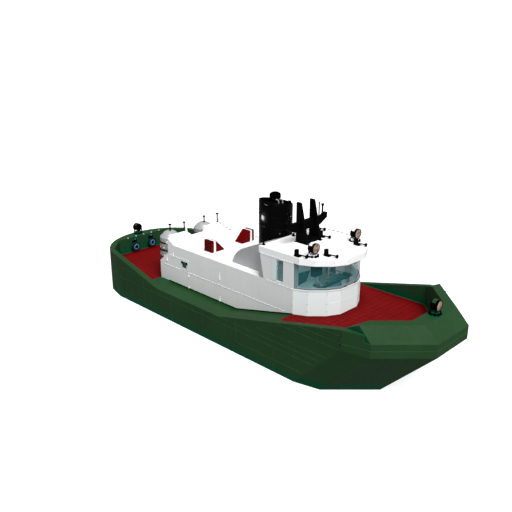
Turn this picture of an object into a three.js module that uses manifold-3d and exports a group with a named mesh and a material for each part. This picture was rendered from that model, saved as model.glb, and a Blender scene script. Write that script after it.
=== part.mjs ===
// A harbour tugboat: a flat-bottomed green hull, a white deckhouse with a round-fronted wheelhouse,
// a black funnel and twin-fin mast, four searchlights, two hose reels, twin screws and twin rudders.
//
// Millimetres, +X to the bow, +Y to port, +Z up. The origin is on the flat bottom, at the middle of
// the length and of the breadth. The hull is laid out on a square grid of frames, FRAME apart.
// Stations are counted in frames forward of the aft end of the straight side, offsets in frames
// to port of the starboard side, and heights in frames above the bottom.
import * as THREE from 'three';
import { mergeVertices } from 'three/addons/utils/BufferGeometryUtils.js';
import { ConvexGeometry } from 'three/addons/geometries/ConvexGeometry.js';
import Module from 'manifold-3d';

const wasm = await Module();
wasm.setup();

// Driving dimensions, in millimetres
const FRAME = 250;
const FIT_GAP = 0.3;
const PLATE = 80;
const DECK_PLATE = 20;

// The same, in frames
const GAP = FIT_GAP / FRAME;
const WALL = PLATE / FRAME;
const PLANK = DECK_PLATE / FRAME;

// Hull, in frames
const BEAM = 22;
const MIDDLE = BEAM / 2;
const STERN_RADIUS = 11.33;
const STERN_CENTRE = 1.33;
const STERN_FACETS = 14;
const AFT_DECK = { height: 5, start: -7.5, end: 8 };
const FORE_DECK = { height: 8, start: 40 };
const RAIL = { aft: 8, waist: 5, slopeStart: 0, slopeEnd: 12, rampStart: 28, forward: 52, forwardHeight: 11 };
const BULWARK = 1;
const BOW_RAKE = 8;
const BELT = { low: 8, high: 10 };
const BOW_TOP = { height: 12, setBack: 2, inner: 58, aft: 54 };
const BOW = { shoulder: 52, chamfer: 56, front: 62, chamferIn: 1, frontIn: 7 };
const STERN = STERN_CENTRE - STERN_RADIUS;
const MID_LENGTH = (STERN + BOW.front) / 2;

// Deckhouse and wheelhouse, in frames
const HOUSE = { side: 4, aft: 8, aftUpper: 10.35, roof: 12, step: 8, end: 40 };
const WHEELHOUSE = { aft: 33, aftLow: 34, sill: 12, head: 16, roof: 17, overhang: 1 };
const FRONT_PLAN = [[40, 4], [42, 5], [44, 7], [45, 9]];
const TRUNK = { station: 7.2, offset: 7, radius: 2, top: 12, capTop: 13, capRadius: 0.9 };
const FUNNEL = { station: 29.87, radius: 2.7, top: 22.17, fall: 0.16 };

const materialOf = (color, roughness, metalness) =>
  new THREE.MeshStandardMaterial({ color, roughness, metalness });
const green = materialOf(0x2f4e32, 0.45, 0.1);
const red = materialOf(0x781a1c, 0.7, 0.05);
const white = materialOf(0xe4e4e4, 0.4, 0.05);
const grey = materialOf(0x9a9c9c, 0.45, 0.05);
const black = materialOf(0x0a0a0b, 0.25, 0.2);
const darkRed = materialOf(0x6c1114, 0.5, 0.1);
const teal = materialOf(0x3c7d80, 0.1, 0.0);
const blue = materialOf(0x2f86b4, 0.3, 0.1);
const bronze = materialOf(0xb08a52, 0.35, 0.9);
const steel = materialOf(0x5a5f62, 0.5, 0.6);
const brown = materialOf(0x3a2a20, 0.5, 0.1);

// Turns a closed three.js geometry into a solid that can be cut and joined
function solidOf(geometry) {
  const bare = geometry.clone();
  bare.deleteAttribute('normal');
  bare.deleteAttribute('uv');
  const merged = mergeVertices(bare, 1e-3);
  const index = Uint32Array.from(merged.index.array);
  const vertices = Float32Array.from(merged.attributes.position.array);
  return new wasm.Manifold(new wasm.Mesh({ numProp: 3, vertProperties: vertices, triVerts: index }));
}

function geometryOf(solid) {
  const mesh = solid.getMesh();
  const geometry = new THREE.BufferGeometry();
  geometry.setAttribute('position', new THREE.BufferAttribute(Float32Array.from(mesh.vertProperties), 3));
  geometry.setIndex(new THREE.BufferAttribute(Uint32Array.from(mesh.triVerts), 1));
  geometry.computeVertexNormals();
  return geometry;
}

const join = (...solids) => solids.reduce((sum, solid) => sum.add(solid));
const cut = (solid, ...tools) => tools.reduce((rest, tool) => rest.subtract(tool), solid);

function extrusion(outline, depth) {
  const shape = new THREE.Shape(outline.map(([x, y]) => new THREE.Vector2(x, y)));
  return new THREE.ExtrudeGeometry(shape, { depth, bevelEnabled: false });
}

const inFrames = (geometry) => geometry.scale(FRAME, FRAME, FRAME);

// A plan outline (station, offset) raised between two heights
function planPrism(outline, low, high) {
  return solidOf(inFrames(extrusion(outline, high - low).translate(0, 0, low)));
}

// A side profile (station, height) drawn out between two offsets
function sidePrism(outline, starboard, port) {
  return solidOf(inFrames(extrusion(outline, port - starboard).rotateX(Math.PI / 2).translate(0, port, 0)));
}

// A cross section (offset, height) drawn out between two stations
function crossPrism(outline, aft, forward) {
  const turned = extrusion(outline, forward - aft).rotateX(Math.PI / 2).rotateZ(Math.PI / 2);
  return solidOf(inFrames(turned.translate(aft, 0, 0)));
}

function block([x0, x1], [y0, y1], [z0, z1]) {
  const box = new THREE.BoxGeometry(x1 - x0, y1 - y0, z1 - z0);
  return solidOf(inFrames(box.translate((x0 + x1) / 2, (y0 + y1) / 2, (z0 + z1) / 2)));
}

function hullOf(points) {
  return solidOf(inFrames(new ConvexGeometry(points.map(([x, y, z]) => new THREE.Vector3(x, y, z)))));
}

// A round solid about a vertical axis, from a profile of [radius, height]
function turned([x, y], profile, facets = 24) {
  const closed = [[0, profile[0][1]], ...profile, [0, profile[profile.length - 1][1]]];
  const points = closed.map(([radius, height]) => new THREE.Vector2(radius, height));
  const lathe = new THREE.LatheGeometry(points, facets).rotateX(Math.PI / 2);
  return solidOf(inFrames(lathe.translate(x, y, 0)));
}

// A rod of round section between two points
function rod(from, to, radius, facets = 12) {
  const a = new THREE.Vector3(...from);
  const b = new THREE.Vector3(...to);
  const cylinder = new THREE.CylinderGeometry(radius, radius, a.distanceTo(b), facets);
  const along = new THREE.Vector3().subVectors(b, a).normalize();
  cylinder.applyQuaternion(new THREE.Quaternion().setFromUnitVectors(new THREE.Vector3(0, 1, 0), along));
  return solidOf(inFrames(cylinder.translate(...a.add(b).multiplyScalar(0.5).toArray())));
}

const mirrorOutline = (outline) => outline.map(([x, y]) => [x, BEAM - y]).reverse();
const withMirror = (half) => [...half, ...mirrorOutline(half)];

const tug = new THREE.Group();
tug.position.set(-MID_LENGTH * FRAME, -MIDDLE * FRAME, 0);

function place(name, solid, material, parent = tug) {
  const mesh = new THREE.Mesh(geometryOf(solid), material);
  mesh.name = name;
  parent.add(mesh);
  return mesh;
}

// Hull outline in plan: the round stern, the straight side and the faceted bow
function sternArc(radius) {
  const points = [];
  const reach = Math.asin((MIDDLE - 1) / STERN_RADIUS);
  for (let i = 0; i <= STERN_FACETS; i += 1) {
    const angle = reach - (2 * reach * i) / STERN_FACETS;
    points.push([STERN_CENTRE - radius * Math.cos(angle), MIDDLE - radius * Math.sin(angle)]);
  }
  return points.reverse();
}

function hullPlan(shift) {
  const bow = [
    [BOW.shoulder - shift, 0],
    [BOW.chamfer - shift, BOW.chamferIn],
    [BOW.front - shift, BOW.frontIn],
  ];
  return [...sternArc(STERN_RADIUS), [0, 0], ...withMirror(bow), [0, BEAM]];
}

const atHeight = (outline, height) => outline.map(([x, y]) => [x, y, height]);

function hullBody() {
  const lower = hullOf([...atHeight(hullPlan(BOW_RAKE), 0), ...atHeight(hullPlan(0), BELT.low)]);
  const upper = planPrism(hullPlan(0), BELT.low - 0.01, BELT.high);
  const bowRing = (aft, setBack) => withMirror([
    [aft, BOW.chamferIn],
    [BOW.chamfer - setBack, BOW.chamferIn],
    [BOW.front - setBack, BOW.frontIn],
  ]);
  const bowCap = hullOf([
    ...atHeight(bowRing(BOW.shoulder - BULWARK, 0), BELT.high - 0.01),
    ...atHeight([[BOW.shoulder, BOW.chamferIn], [BOW.shoulder, BEAM - BOW.chamferIn]], RAIL.forwardHeight),
    ...atHeight(bowRing(BOW_TOP.aft, BOW_TOP.setBack), BOW_TOP.height),
  ]);
  const cheekPlan = [[BOW.shoulder - 12, 0], [BOW.shoulder, 0], [55, 0.75], [55, 1], [BOW.shoulder - 12, 1]];
  const cheek = planPrism(cheekPlan, BELT.high - 0.01, RAIL.forwardHeight);
  const portCheek = planPrism(mirrorOutline(cheekPlan), BELT.high - 0.01, RAIL.forwardHeight);
  return join(lower, upper, bowCap, cheek, portCheek);
}

function sheerCut() {
  const over = BOW_TOP.height + 2;
  const profile = [
    [STERN - 2, RAIL.aft], [RAIL.slopeStart, RAIL.aft], [RAIL.slopeEnd, RAIL.waist],
    [RAIL.rampStart, RAIL.waist], [RAIL.forward, RAIL.forwardHeight], [RAIL.forward, over], [STERN - 2, over],
  ];
  return sidePrism(profile, -1, BEAM + 1);
}

function wellCuts() {
  const top = BOW_TOP.height + 2;
  const aftPlan = withMirror([[AFT_DECK.end, 1], [0, 1], [-4, 2], [AFT_DECK.start, 5.5]]);
  const aftWell = planPrism(aftPlan, AFT_DECK.height - PLANK, top);
  const waist = block([AFT_DECK.end - 0.5, RAIL.rampStart], [BULWARK, BEAM - BULWARK], [AFT_DECK.height, top]);
  const forePlan = withMirror([[FORE_DECK.start, BULWARK], [BOW.shoulder, BULWARK], [BOW_TOP.inner, BOW.frontIn]]);
  const foreWell = planPrism(forePlan, FORE_DECK.height - PLANK, top);
  return [aftWell, waist, foreWell];
}

const ENGINE = { aft: 14.5, forward: 22.5, side: 8.2, low: 1.6, high: 7 };
const ENGINE_WELL = { aft: 13, forward: 24, side: 7, low: 1.5 };
const TUNNEL = { side: 4.2, skeg: 10.1, height: 4, forward: 3, ramp: 6.5 };
const SCREW = { station: -0.6, offset: 7.15, height: 2.05, radius: 1.7, hub: 0.42, bossHalf: 0.55, blades: 4 };
const RUDDER = { station: -3.6, offset: 7.15, low: 0.3, high: 3.75, aft: 2.1, forward: 0.7 };

function bottomCuts() {
  const { side, skeg, height, forward, ramp } = TUNNEL;
  const profile = [[STERN - 2, -1], [forward + ramp * 0.2, -1], [forward + ramp, 0], [forward, height], [STERN - 2, height]];
  const starboard = sidePrism(profile, side, skeg);
  const port = sidePrism(profile, BEAM - skeg, BEAM - side);
  const { aft, low } = ENGINE_WELL;
  const well = block([aft, ENGINE_WELL.forward], [ENGINE_WELL.side, BEAM - ENGINE_WELL.side], [low, AFT_DECK.height + 1]);
  return [starboard, port, well];
}

const SIDES = [
  { name: 'starboard', sign: -1 },
  { name: 'port', sign: 1 },
];
const offsetOn = (sign, fromSide) => (sign < 0 ? fromSide : BEAM - fromSide);
const spanOn = (sign, near, far) => (sign < 0 ? [near, far] : [BEAM - far, BEAM - near]);

// A sleeve for each shaft grows from the tunnel roof, with a web down to it
function shaftSleeves() {
  return SIDES.flatMap(({ sign }) => {
    const y = offsetOn(sign, SCREW.offset);
    const sleeve = rod([SCREW.station + SCREW.bossHalf + GAP, y, SCREW.height], [7.5, y, SCREW.height], 0.34);
    const web = block([0.7, 2.2], [y - 0.12, y + 0.12], [SCREW.height, TUNNEL.height + 0.3]);
    return [sleeve, web];
  });
}

const hull = join(cut(hullBody(), sheerCut(), ...wellCuts(), ...bottomCuts()), ...shaftSleeves());
place('hull', hull, green);

// Red walking decks, laid in shallow recesses in the hull
const aftDeckPlan = withMirror([[AFT_DECK.end, 1 + GAP], [0, 1 + GAP], [-4, 2 + GAP], [AFT_DECK.start + GAP, 5.5 + GAP]]);
place('aft_deck', planPrism(aftDeckPlan, AFT_DECK.height - PLANK + GAP, AFT_DECK.height), red);
const foreDeckPlan = withMirror([
  [FORE_DECK.start + GAP, BULWARK + GAP], [BOW.shoulder - GAP, BULWARK + GAP], [BOW_TOP.inner - GAP, BOW.frontIn + GAP],
]);
place('fore_deck', planPrism(foreDeckPlan, FORE_DECK.height - PLANK + GAP, FORE_DECK.height), red);

// Deckhouse sides, with the small window aft and the engine-room door to port
const PANE = { near: 0.2, far: 0.3 };
const CASING_WINDOW = { aft: 14, forward: 15.4, low: 8.4, high: 9.6 };
const DOOR = { aft: 23, forward: 26, low: 5.6, high: 11.4 };

const RUN_GAP = 6 / FRAME;
const HINGE = { station: DOOR.forward + 0.1, out: 0.14, radius: 0.12, heights: [6.4, 10.2], length: 0.4, strap: 0.6 };
const doorFace = BEAM - HOUSE.side;

// A hinge knuckle with its strap, and the pad that holds the strap to the wall or the door
function knuckle(low, side) {
  const y = doorFace + HINGE.out;
  const heights = [low, low + HINGE.length];
  const ends = (near, far) => [HINGE.station + side * near, HINGE.station + side * far].sort((a, b) => a - b);
  const barrel = rod([HINGE.station, y, low], [HINGE.station, y, low + HINGE.length], HINGE.radius, 12);
  const strap = block(ends(0, HINGE.strap), [doorFace + 0.02, doorFace + 0.1], heights);
  const pad = block(ends(0.2, HINGE.strap), [doorFace - 0.05, doorFace + 0.1], heights);
  return join(barrel, strap, pad);
}

const SHOULDER = { forward: 12, height: 13 };

function casingSide(sign) {
  const profile = [
    [HOUSE.aft, AFT_DECK.height + GAP], [RAIL.rampStart, AFT_DECK.height + GAP],
    [FORE_DECK.start, FORE_DECK.height + GAP], [HOUSE.end, HOUSE.roof], [SHOULDER.forward, HOUSE.roof],
    [HOUSE.aftUpper, SHOULDER.height], [HOUSE.aftUpper, HOUSE.step + 2.3], [HOUSE.aft, HOUSE.step + 0.3],
  ];
  const span = spanOn(sign, HOUSE.side, HOUSE.side + WALL);
  const window = block([CASING_WINDOW.aft, CASING_WINDOW.forward], [span[0] - 1, span[1] + 1],
    [CASING_WINDOW.low, CASING_WINDOW.high]);
  const wall = cut(sidePrism(profile, ...span), window);
  if (sign < 0) return wall;
  const doorway = block([DOOR.aft, DOOR.forward], [span[0] - 1, span[1] + 1], [DOOR.low, DOOR.high]);
  const knuckles = HINGE.heights.map((low) => knuckle(low, 1));
  return join(cut(wall, doorway), ...knuckles);
}

for (const { name, sign } of SIDES) {
  place(`casing_side_${name}`, casingSide(sign), white);
  const [near, far] = spanOn(sign, HOUSE.side + PANE.near, HOUSE.side + PANE.far);
  const pane = block([CASING_WINDOW.aft + GAP, CASING_WINDOW.forward - GAP], [near, far],
    [CASING_WINDOW.low + GAP, CASING_WINDOW.high - GAP]);
  place(`casing_window_${name}`, pane, teal);
}

const doorLeaf = block([DOOR.aft + RUN_GAP, DOOR.forward - RUN_GAP], [doorFace - WALL, doorFace],
  [DOOR.low + RUN_GAP, DOOR.high - RUN_GAP]);
const doorKnuckles = HINGE.heights.map((low) => knuckle(low + HINGE.length + GAP, -1));
place('casing_door', join(doorLeaf, ...doorKnuckles), white);

// Round trunks at the aft corners of the deckhouse, with bands and a faceted cap
const BAND = { heights: [8.2, 9.6, 11], thickness: 0.24, depth: 0.06 };

function trunk(sign) {
  const centre = [TRUNK.station, offsetOn(sign, TRUNK.offset)];
  const { radius, top, capTop, capRadius } = TRUNK;
  const barrel = turned(centre, [[radius - BAND.depth, AFT_DECK.height + GAP], [radius - BAND.depth, top], [capRadius, capTop]]);
  const bands = BAND.heights.map((height) => turned(centre, [[radius, height], [radius, height + BAND.thickness]]));
  return join(barrel, ...bands);
}

const trunkSpace = (sign) => turned([TRUNK.station, offsetOn(sign, TRUNK.offset)],
  [[TRUNK.radius + GAP, 4], [TRUNK.radius + GAP, TRUNK.capTop + 1]]);

for (const { name, sign } of SIDES) {
  place(`aft_trunk_${name}`, trunk(sign), grey);
}

// Aft wall of the deckhouse, stepped forward above the lower part
const innerSpan = [HOUSE.side + WALL + GAP, BEAM - HOUSE.side - WALL - GAP];
const aftWallProfile = [
  [HOUSE.aft, AFT_DECK.height + GAP], [HOUSE.aft + WALL, AFT_DECK.height + GAP], [HOUSE.aft + WALL, HOUSE.step + 0.15],
  [HOUSE.aftUpper + 0.1, HOUSE.step + 2.2], [HOUSE.aftUpper + 0.1, HOUSE.roof - WALL - GAP],
  [HOUSE.aftUpper, HOUSE.roof - WALL - GAP], [HOUSE.aftUpper, HOUSE.step + 2.3], [HOUSE.aft, HOUSE.step + 0.3],
];
const aftWall = cut(sidePrism(aftWallProfile, ...innerSpan), trunkSpace(-1), trunkSpace(1));
place('casing_aft_wall', aftWall, white);

// Deckhouse roof, raised in a shallow wedge behind each trunk
const RIDGE = { aft: 9.3, peak: 9.4, forward: 13.4, height: 13, near: 5, far: 9 };
const roofSlab = block([RIDGE.aft + 0.1, WHEELHOUSE.aft - GAP], innerSpan, [HOUSE.roof - WALL, HOUSE.roof]);
const ridgeProfile = [[RIDGE.aft, HOUSE.roof - 0.1], [RIDGE.forward, HOUSE.roof - 0.1], [RIDGE.forward, HOUSE.roof],
  [RIDGE.peak, RIDGE.height], [RIDGE.aft, RIDGE.height]];
const ridges = SIDES.map(({ sign }) => sidePrism(ridgeProfile, ...spanOn(sign, RIDGE.near, RIDGE.far)));
const shoulderProfile = [[HOUSE.aftUpper, HOUSE.roof - 0.1], [SHOULDER.forward, HOUSE.roof - 0.1],
  [SHOULDER.forward, HOUSE.roof], [HOUSE.aftUpper, SHOULDER.height]];
const shoulders = SIDES.map(({ sign }) => sidePrism(shoulderProfile,
  ...spanOn(sign, HOUSE.side + WALL + GAP, RIDGE.near + 0.1)));
place('casing_roof', cut(join(roofSlab, ...ridges, ...shoulders), trunkSpace(-1), trunkSpace(1)), white);

// Ventilator cowls, louvred outboard and sloping down inboard
const VENT = { aft: 18, forward: 19.9, near: 6, far: 8.95, high: 14.05, crest: 7 };
for (const { name, sign } of SIDES) {
  const { near, far, high, crest } = VENT;
  const half = [[near, HOUSE.roof + GAP], [far, HOUSE.roof + GAP], [crest, high], [near, high]];
  const section = sign < 0 ? half : mirrorOutline(half.map(([y, z]) => [z, y])).map(([z, y]) => [y, z]);
  place(`vent_${name}`, crossPrism(section, VENT.aft, VENT.forward), darkRed);
}

// Housing abaft the wheelhouse, with a curved aft shoulder, and the funnel on it
const HOUSING = { near: 5.6 };
const housingProfile = [
  [25.45, HOUSE.roof + GAP], [WHEELHOUSE.aft - GAP, HOUSE.roof + GAP], [WHEELHOUSE.aft - GAP, 17], [31.5, 16.5],
  [29.4, 15.6], [27.3, 14.6], [26.5, 13.95], [25.9, 13.25], [25.45, 12.4],
];
const housing = sidePrism(housingProfile, HOUSING.near, BEAM - HOUSING.near);
place('funnel_housing', housing, grey);

const funnelCentre = [FUNNEL.station, MIDDLE];
const funnelTop = (offset) => FUNNEL.top - FUNNEL.fall * (offset - MIDDLE);
const aboveFunnel = crossPrism([[5, funnelTop(5)], [17, funnelTop(17)], [17, 26], [5, 26]], 25, 35);
const funnelColumn = turned(funnelCentre, [[FUNNEL.radius, 14], [FUNNEL.radius, 25]], 32);
const funnel = cut(funnelColumn, aboveFunnel);
place('funnel', cut(funnel, housing.translate(0, 0, FIT_GAP)), black);
const cowl = turned([29.7, MIDDLE], [[0.6, 21], [0.6, 22.1], [0.92, 22.4], [0.95, 22.8], [0.8, 23.15], [0.4, 23.4]], 16);
place('exhaust_cap', cut(cowl, funnel.translate(0, 0, FIT_GAP)), black);

// Wheelhouse: sides with a tall window, faceted front, glass band, posts and roof
const frontHalf = FRONT_PLAN;
const SIDE_WINDOW = { aft: 35.8, forward: 38, low: 12.4, high: 15.75 };

function insetPlan(outline, inset) {
  const count = outline.length;
  return outline.map((point, i) => {
    const before = outline[Math.max(i - 1, 0)];
    const after = outline[Math.min(i + 1, count - 1)];
    const normal = ([ax, ay], [bx, by]) => {
      const length = Math.hypot(bx - ax, by - ay);
      return [-(by - ay) / length, (bx - ax) / length];
    };
    const n1 = i === 0 ? normal(point, after) : normal(before, point);
    const n2 = i === count - 1 ? normal(before, point) : normal(point, after);
    const scale = inset / (1 + n1[0] * n2[0] + n1[1] * n2[1]);
    return [point[0] + (n1[0] + n2[0]) * scale, point[1] + (n1[1] + n2[1]) * scale];
  });
}

// A band that follows the round front between two insets from its outer face
function frontBand(outer, inner, low, high) {
  const whole = withMirror(frontHalf);
  const outside = insetPlan(whole, outer);
  const inside = insetPlan(whole, inner);
  return planPrism([...outside, ...inside.reverse()], low, high);
}

const foreDeckTop = FORE_DECK.height + GAP;
const squareOff = block([HOUSE.end - 3, HOUSE.end + GAP], [0, BEAM], [0, 20]);
place('wheelhouse_front', cut(frontBand(0, WALL, foreDeckTop, WHEELHOUSE.sill), squareOff), white);
place('windscreen', cut(frontBand(0.1, 0.2, WHEELHOUSE.sill + GAP, WHEELHOUSE.head - GAP), squareOff), teal);

function wheelhouseSide(sign) {
  const profile = [
    [WHEELHOUSE.aftLow, WHEELHOUSE.sill + GAP], [HOUSE.end, WHEELHOUSE.sill + GAP], [HOUSE.end, WHEELHOUSE.head - GAP],
    [WHEELHOUSE.aft + 0.2, WHEELHOUSE.head - GAP],
  ];
  const span = spanOn(sign, HOUSE.side, HOUSE.side + WALL);
  const window = block([SIDE_WINDOW.aft, SIDE_WINDOW.forward], [span[0] - 1, span[1] + 1], [SIDE_WINDOW.low, SIDE_WINDOW.high]);
  const backing = [
    [WHEELHOUSE.aft, WHEELHOUSE.sill + GAP], [WHEELHOUSE.aftLow + 0.4, WHEELHOUSE.sill + GAP],
    [WHEELHOUSE.aft + 0.6, WHEELHOUSE.head - GAP], [WHEELHOUSE.aft, WHEELHOUSE.head - GAP],
  ];
  const inner = spanOn(sign, HOUSE.side + WALL / 2, HOUSE.side + WALL);
  return cut(join(sidePrism(profile, ...span), sidePrism(backing, ...inner)), window);
}

for (const { name, sign } of SIDES) {
  place(`wheelhouse_side_${name}`, wheelhouseSide(sign), white);
  const [near, far] = spanOn(sign, HOUSE.side + PANE.near, HOUSE.side + PANE.far);
  const pane = block([SIDE_WINDOW.aft + GAP, SIDE_WINDOW.forward - GAP], [near, far],
    [SIDE_WINDOW.low + GAP, SIDE_WINDOW.high - GAP]);
  place(`side_window_${name}`, pane, teal);
}

const roofFront = frontHalf.map(([x, y]) => [x + WHEELHOUSE.overhang, y]);
const roofPlan = withMirror([[WHEELHOUSE.aft, HOUSE.side], ...roofFront]);
place('wheelhouse_roof', planPrism(roofPlan, WHEELHOUSE.head, WHEELHOUSE.roof), white);

// Window frame just inside the glass: head and sill rails, with a post at each aft end
const MULLION = { outer: 0.24, inner: 0.5, rail: 0.25 };
const endPosts = cut(frontBand(MULLION.outer, MULLION.inner, WHEELHOUSE.sill + 2 * GAP, WHEELHOUSE.head - 2 * GAP),
  block([HOUSE.end + 0.35, HOUSE.end + 10], [0, BEAM], [0, 20]));
const headRail = frontBand(MULLION.outer, MULLION.inner, WHEELHOUSE.head - MULLION.rail, WHEELHOUSE.head - GAP);
const sillRail = frontBand(MULLION.outer, MULLION.inner, WHEELHOUSE.sill + GAP, WHEELHOUSE.sill + MULLION.rail);
place('windscreen_frame', cut(join(headRail, sillRail, endPosts), squareOff), white);

const bulkhead = block([WHEELHOUSE.aft, WHEELHOUSE.aft + WALL], innerSpan, [FORE_DECK.height + GAP, WHEELHOUSE.head - GAP]);
place('wheelhouse_bulkhead', bulkhead, white);

const rampHeight = (station) => RAIL.waist + (station - RAIL.rampStart) / 4;
const FLOOR_END = FORE_DECK.start - 0.1;
const floorProfile = [[WHEELHOUSE.aft, rampHeight(WHEELHOUSE.aft) + 2 * GAP], [FLOOR_END, rampHeight(FLOOR_END) + 2 * GAP],
  [FLOOR_END, FORE_DECK.height], [WHEELHOUSE.aft, FORE_DECK.height]];
place('wheelhouse_floor', sidePrism(floorProfile, ...innerSpan), brown);

// Helm console across the front, the overhead panel and the helm seat
const consoleTop = block([41, 42.7], [7.3, 14.7], [11.75, 12.05]);
const consoleBody = block([41.4, 42.5], [7.8, 14.2], [FORE_DECK.height + GAP, 11.8]);
place('helm_console', join(consoleTop, consoleBody), brown);
const overhead = block([41.5, 42.2], [6.1, 7.9], [13.8, WHEELHOUSE.head - GAP]);
place('overhead_panel', overhead, black);
const SEAT = { station: 39.4, offset: 12.6, half: 1, low: 10, pad: 10.5, back: 12.9 };
const seatSpan = [SEAT.offset - SEAT.half, SEAT.offset + SEAT.half];
const seat = join(
  turned([SEAT.station, SEAT.offset], [[0.9, FORE_DECK.height + GAP], [0.9, FORE_DECK.height + 0.2],
    [0.25, FORE_DECK.height + 0.3], [0.25, SEAT.low + 0.1]], 12),
  block([SEAT.station - 1, SEAT.station + 0.8], seatSpan, [SEAT.low, SEAT.pad]),
  block([SEAT.station - 1, SEAT.station - 0.6], seatSpan, [SEAT.low, SEAT.back]),
);
place('helm_seat', seat, black);

// Twin-fin mast with its crossbar, arms, lantern posts and aerial
const FIN = { offsets: [9.5, 12.55], half: 0.22, aft: 35.7, footForward: 37.95, headForward: 36.45, top: 23.1 };
const CROSSBAR = { low: 18.9, high: 20.25, aft: 35.8, forward: 36.6 };
const ARM = { root: 1.7, reach: 4.75, rootLow: 18.6, tipLow: 19.8, tipHigh: 20.6, lantern: 3.88, lanternTop: 22 };
const AERIAL = { offset: 14.05, radius: 0.1, top: 22.5 };

function mast() {
  const finProfile = [[FIN.aft, WHEELHOUSE.roof + GAP], [FIN.footForward, WHEELHOUSE.roof + GAP],
    [FIN.headForward, FIN.top], [FIN.aft, FIN.top]];
  const fins = FIN.offsets.map((y) => sidePrism(finProfile, y - FIN.half, y + FIN.half));
  const bar = block([CROSSBAR.aft, CROSSBAR.forward], FIN.offsets, [CROSSBAR.low, CROSSBAR.high]);
  const base = block([FIN.aft, FIN.footForward - 0.3], FIN.offsets, [WHEELHOUSE.roof + GAP, WHEELHOUSE.roof + 0.5]);
  const station = (CROSSBAR.aft + CROSSBAR.forward) / 2;
  const arms = SIDES.map(({ sign }) => {
    const at = (reach) => MIDDLE + sign * reach;
    const section = [[at(ARM.root), ARM.rootLow], [at(ARM.root + 1.4), ARM.rootLow + 0.35], [at(ARM.reach), ARM.tipLow],
      [at(ARM.reach), ARM.tipHigh], [at(ARM.reach - 0.7), ARM.tipHigh], [at(ARM.reach - 1.1), CROSSBAR.high],
      [at(ARM.root), CROSSBAR.high]];
    return crossPrism(sign < 0 ? section.reverse() : section, station - 0.3, station + 0.3);
  });
  const lanternPosts = SIDES.map(({ sign }) => {
    const y = MIDDLE + sign * ARM.lantern;
    return rod([station, y, CROSSBAR.high - 0.2], [station, y, ARM.lanternTop], 0.14);
  });
  const aerial = rod([station, AERIAL.offset, CROSSBAR.high - 0.2], [station, AERIAL.offset, AERIAL.top], AERIAL.radius, 8);
  return join(...fins, bar, base, ...arms, ...lanternPosts, aerial);
}
place('mast', mast(), black);

// Searchlights: each turns on its base and tilts in its yoke
const LAMPS = [
  // name, station, offset and height of the seat
  { name: 'bow', station: 59, offset: MIDDLE, seat: BOW_TOP.height },
  { name: 'roof_starboard', station: 41.9, offset: 6.05, seat: WHEELHOUSE.roof },
  { name: 'roof_port', station: 41.9, offset: BEAM - 6.05, seat: WHEELHOUSE.roof },
  { name: 'stern', station: -9, offset: MIDDLE, seat: RAIL.aft },
];
const DRUM = { radius: 0.78, half: 0.52, axis: 1.3, pin: 0.16 };
const YOKE = { base: 0.8, baseHeight: 0.22, bridge: 0.3, arm: 0.16, clear: 0.04, half: 0.2 };

for (const { name, station, offset, seat } of LAMPS) {
  const armIn = DRUM.radius + YOKE.clear;
  const armOut = armIn + YOKE.arm;
  const arms = [-1, 1].map((sign) => {
    const span = sign < 0 ? [offset - armOut, offset - armIn] : [offset + armIn, offset + armOut];
    return block([station - YOKE.half, station + YOKE.half], span, [seat + YOKE.baseHeight - 0.1, seat + DRUM.axis + 0.2]);
  });
  const bridge = block([station - YOKE.half, station + YOKE.half], [offset - armOut, offset + armOut],
    [seat + YOKE.baseHeight - 0.1, seat + YOKE.bridge]);
  const base = turned([station, offset], [[YOKE.base, seat + GAP], [YOKE.base, seat + YOKE.baseHeight]], 16);
  place(`searchlight_${name}_yoke`, join(base, bridge, ...arms), black);
  const height = seat + DRUM.axis;
  const drum = rod([station - DRUM.half, offset, height], [station + DRUM.half, offset, height], DRUM.radius, 20);
  const pin = rod([station, offset - armIn + GAP, height], [station, offset + armIn - GAP, height], DRUM.pin, 10);
  place(`searchlight_${name}_lamp`, join(drum, pin), black);
}

// Hose reels on the inner face of the transom, each turning on a spindle against a collar
const REEL = { offsets: { starboard: 8.93, port: 12.9 }, radius: 1, half: 0.25, height: 6.1, station: -6.93 };
const SPINDLE = { radius: 0.2, collar: 0.5, past: 0.1, plate: 0.2 };
for (const { name } of SIDES) {
  const y = REEL.offsets[name];
  const back = REEL.station - REEL.half;
  const wall = AFT_DECK.start + SPINDLE.plate - 0.1;
  const plate = block([AFT_DECK.start + GAP, AFT_DECK.start + SPINDLE.plate], [y - 0.5, y + 0.5], [AFT_DECK.height + GAP, 7.3]);
  const spindle = rod([wall, y, REEL.height], [REEL.station + REEL.half + SPINDLE.past, y, REEL.height], SPINDLE.radius, 16);
  const collar = rod([wall, y, REEL.height], [back - GAP, y, REEL.height], SPINDLE.collar, 16);
  const cone = turned([AFT_DECK.start + 0.4, y], [[0.32, 7.12], [0.32, 7.3], [0.2, 7.6]], 12);
  place(`reel_stand_${name}`, join(plate, spindle, collar, cone), black);
  const disc = rod([back, y, REEL.height], [REEL.station + REEL.half, y, REEL.height], REEL.radius, 24);
  const bore = rod([back - 1, y, REEL.height], [REEL.station + 2, y, REEL.height], SPINDLE.radius + RUN_GAP, 16);
  place(`hose_reel_${name}`, cut(disc, bore), blue);
}

// Engine block in its well, and the running gear under the stern
place('engine', block([ENGINE.aft, ENGINE.forward], [ENGINE.side, BEAM - ENGINE.side], [ENGINE_WELL.low + GAP, ENGINE.high]), steel);

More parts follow.
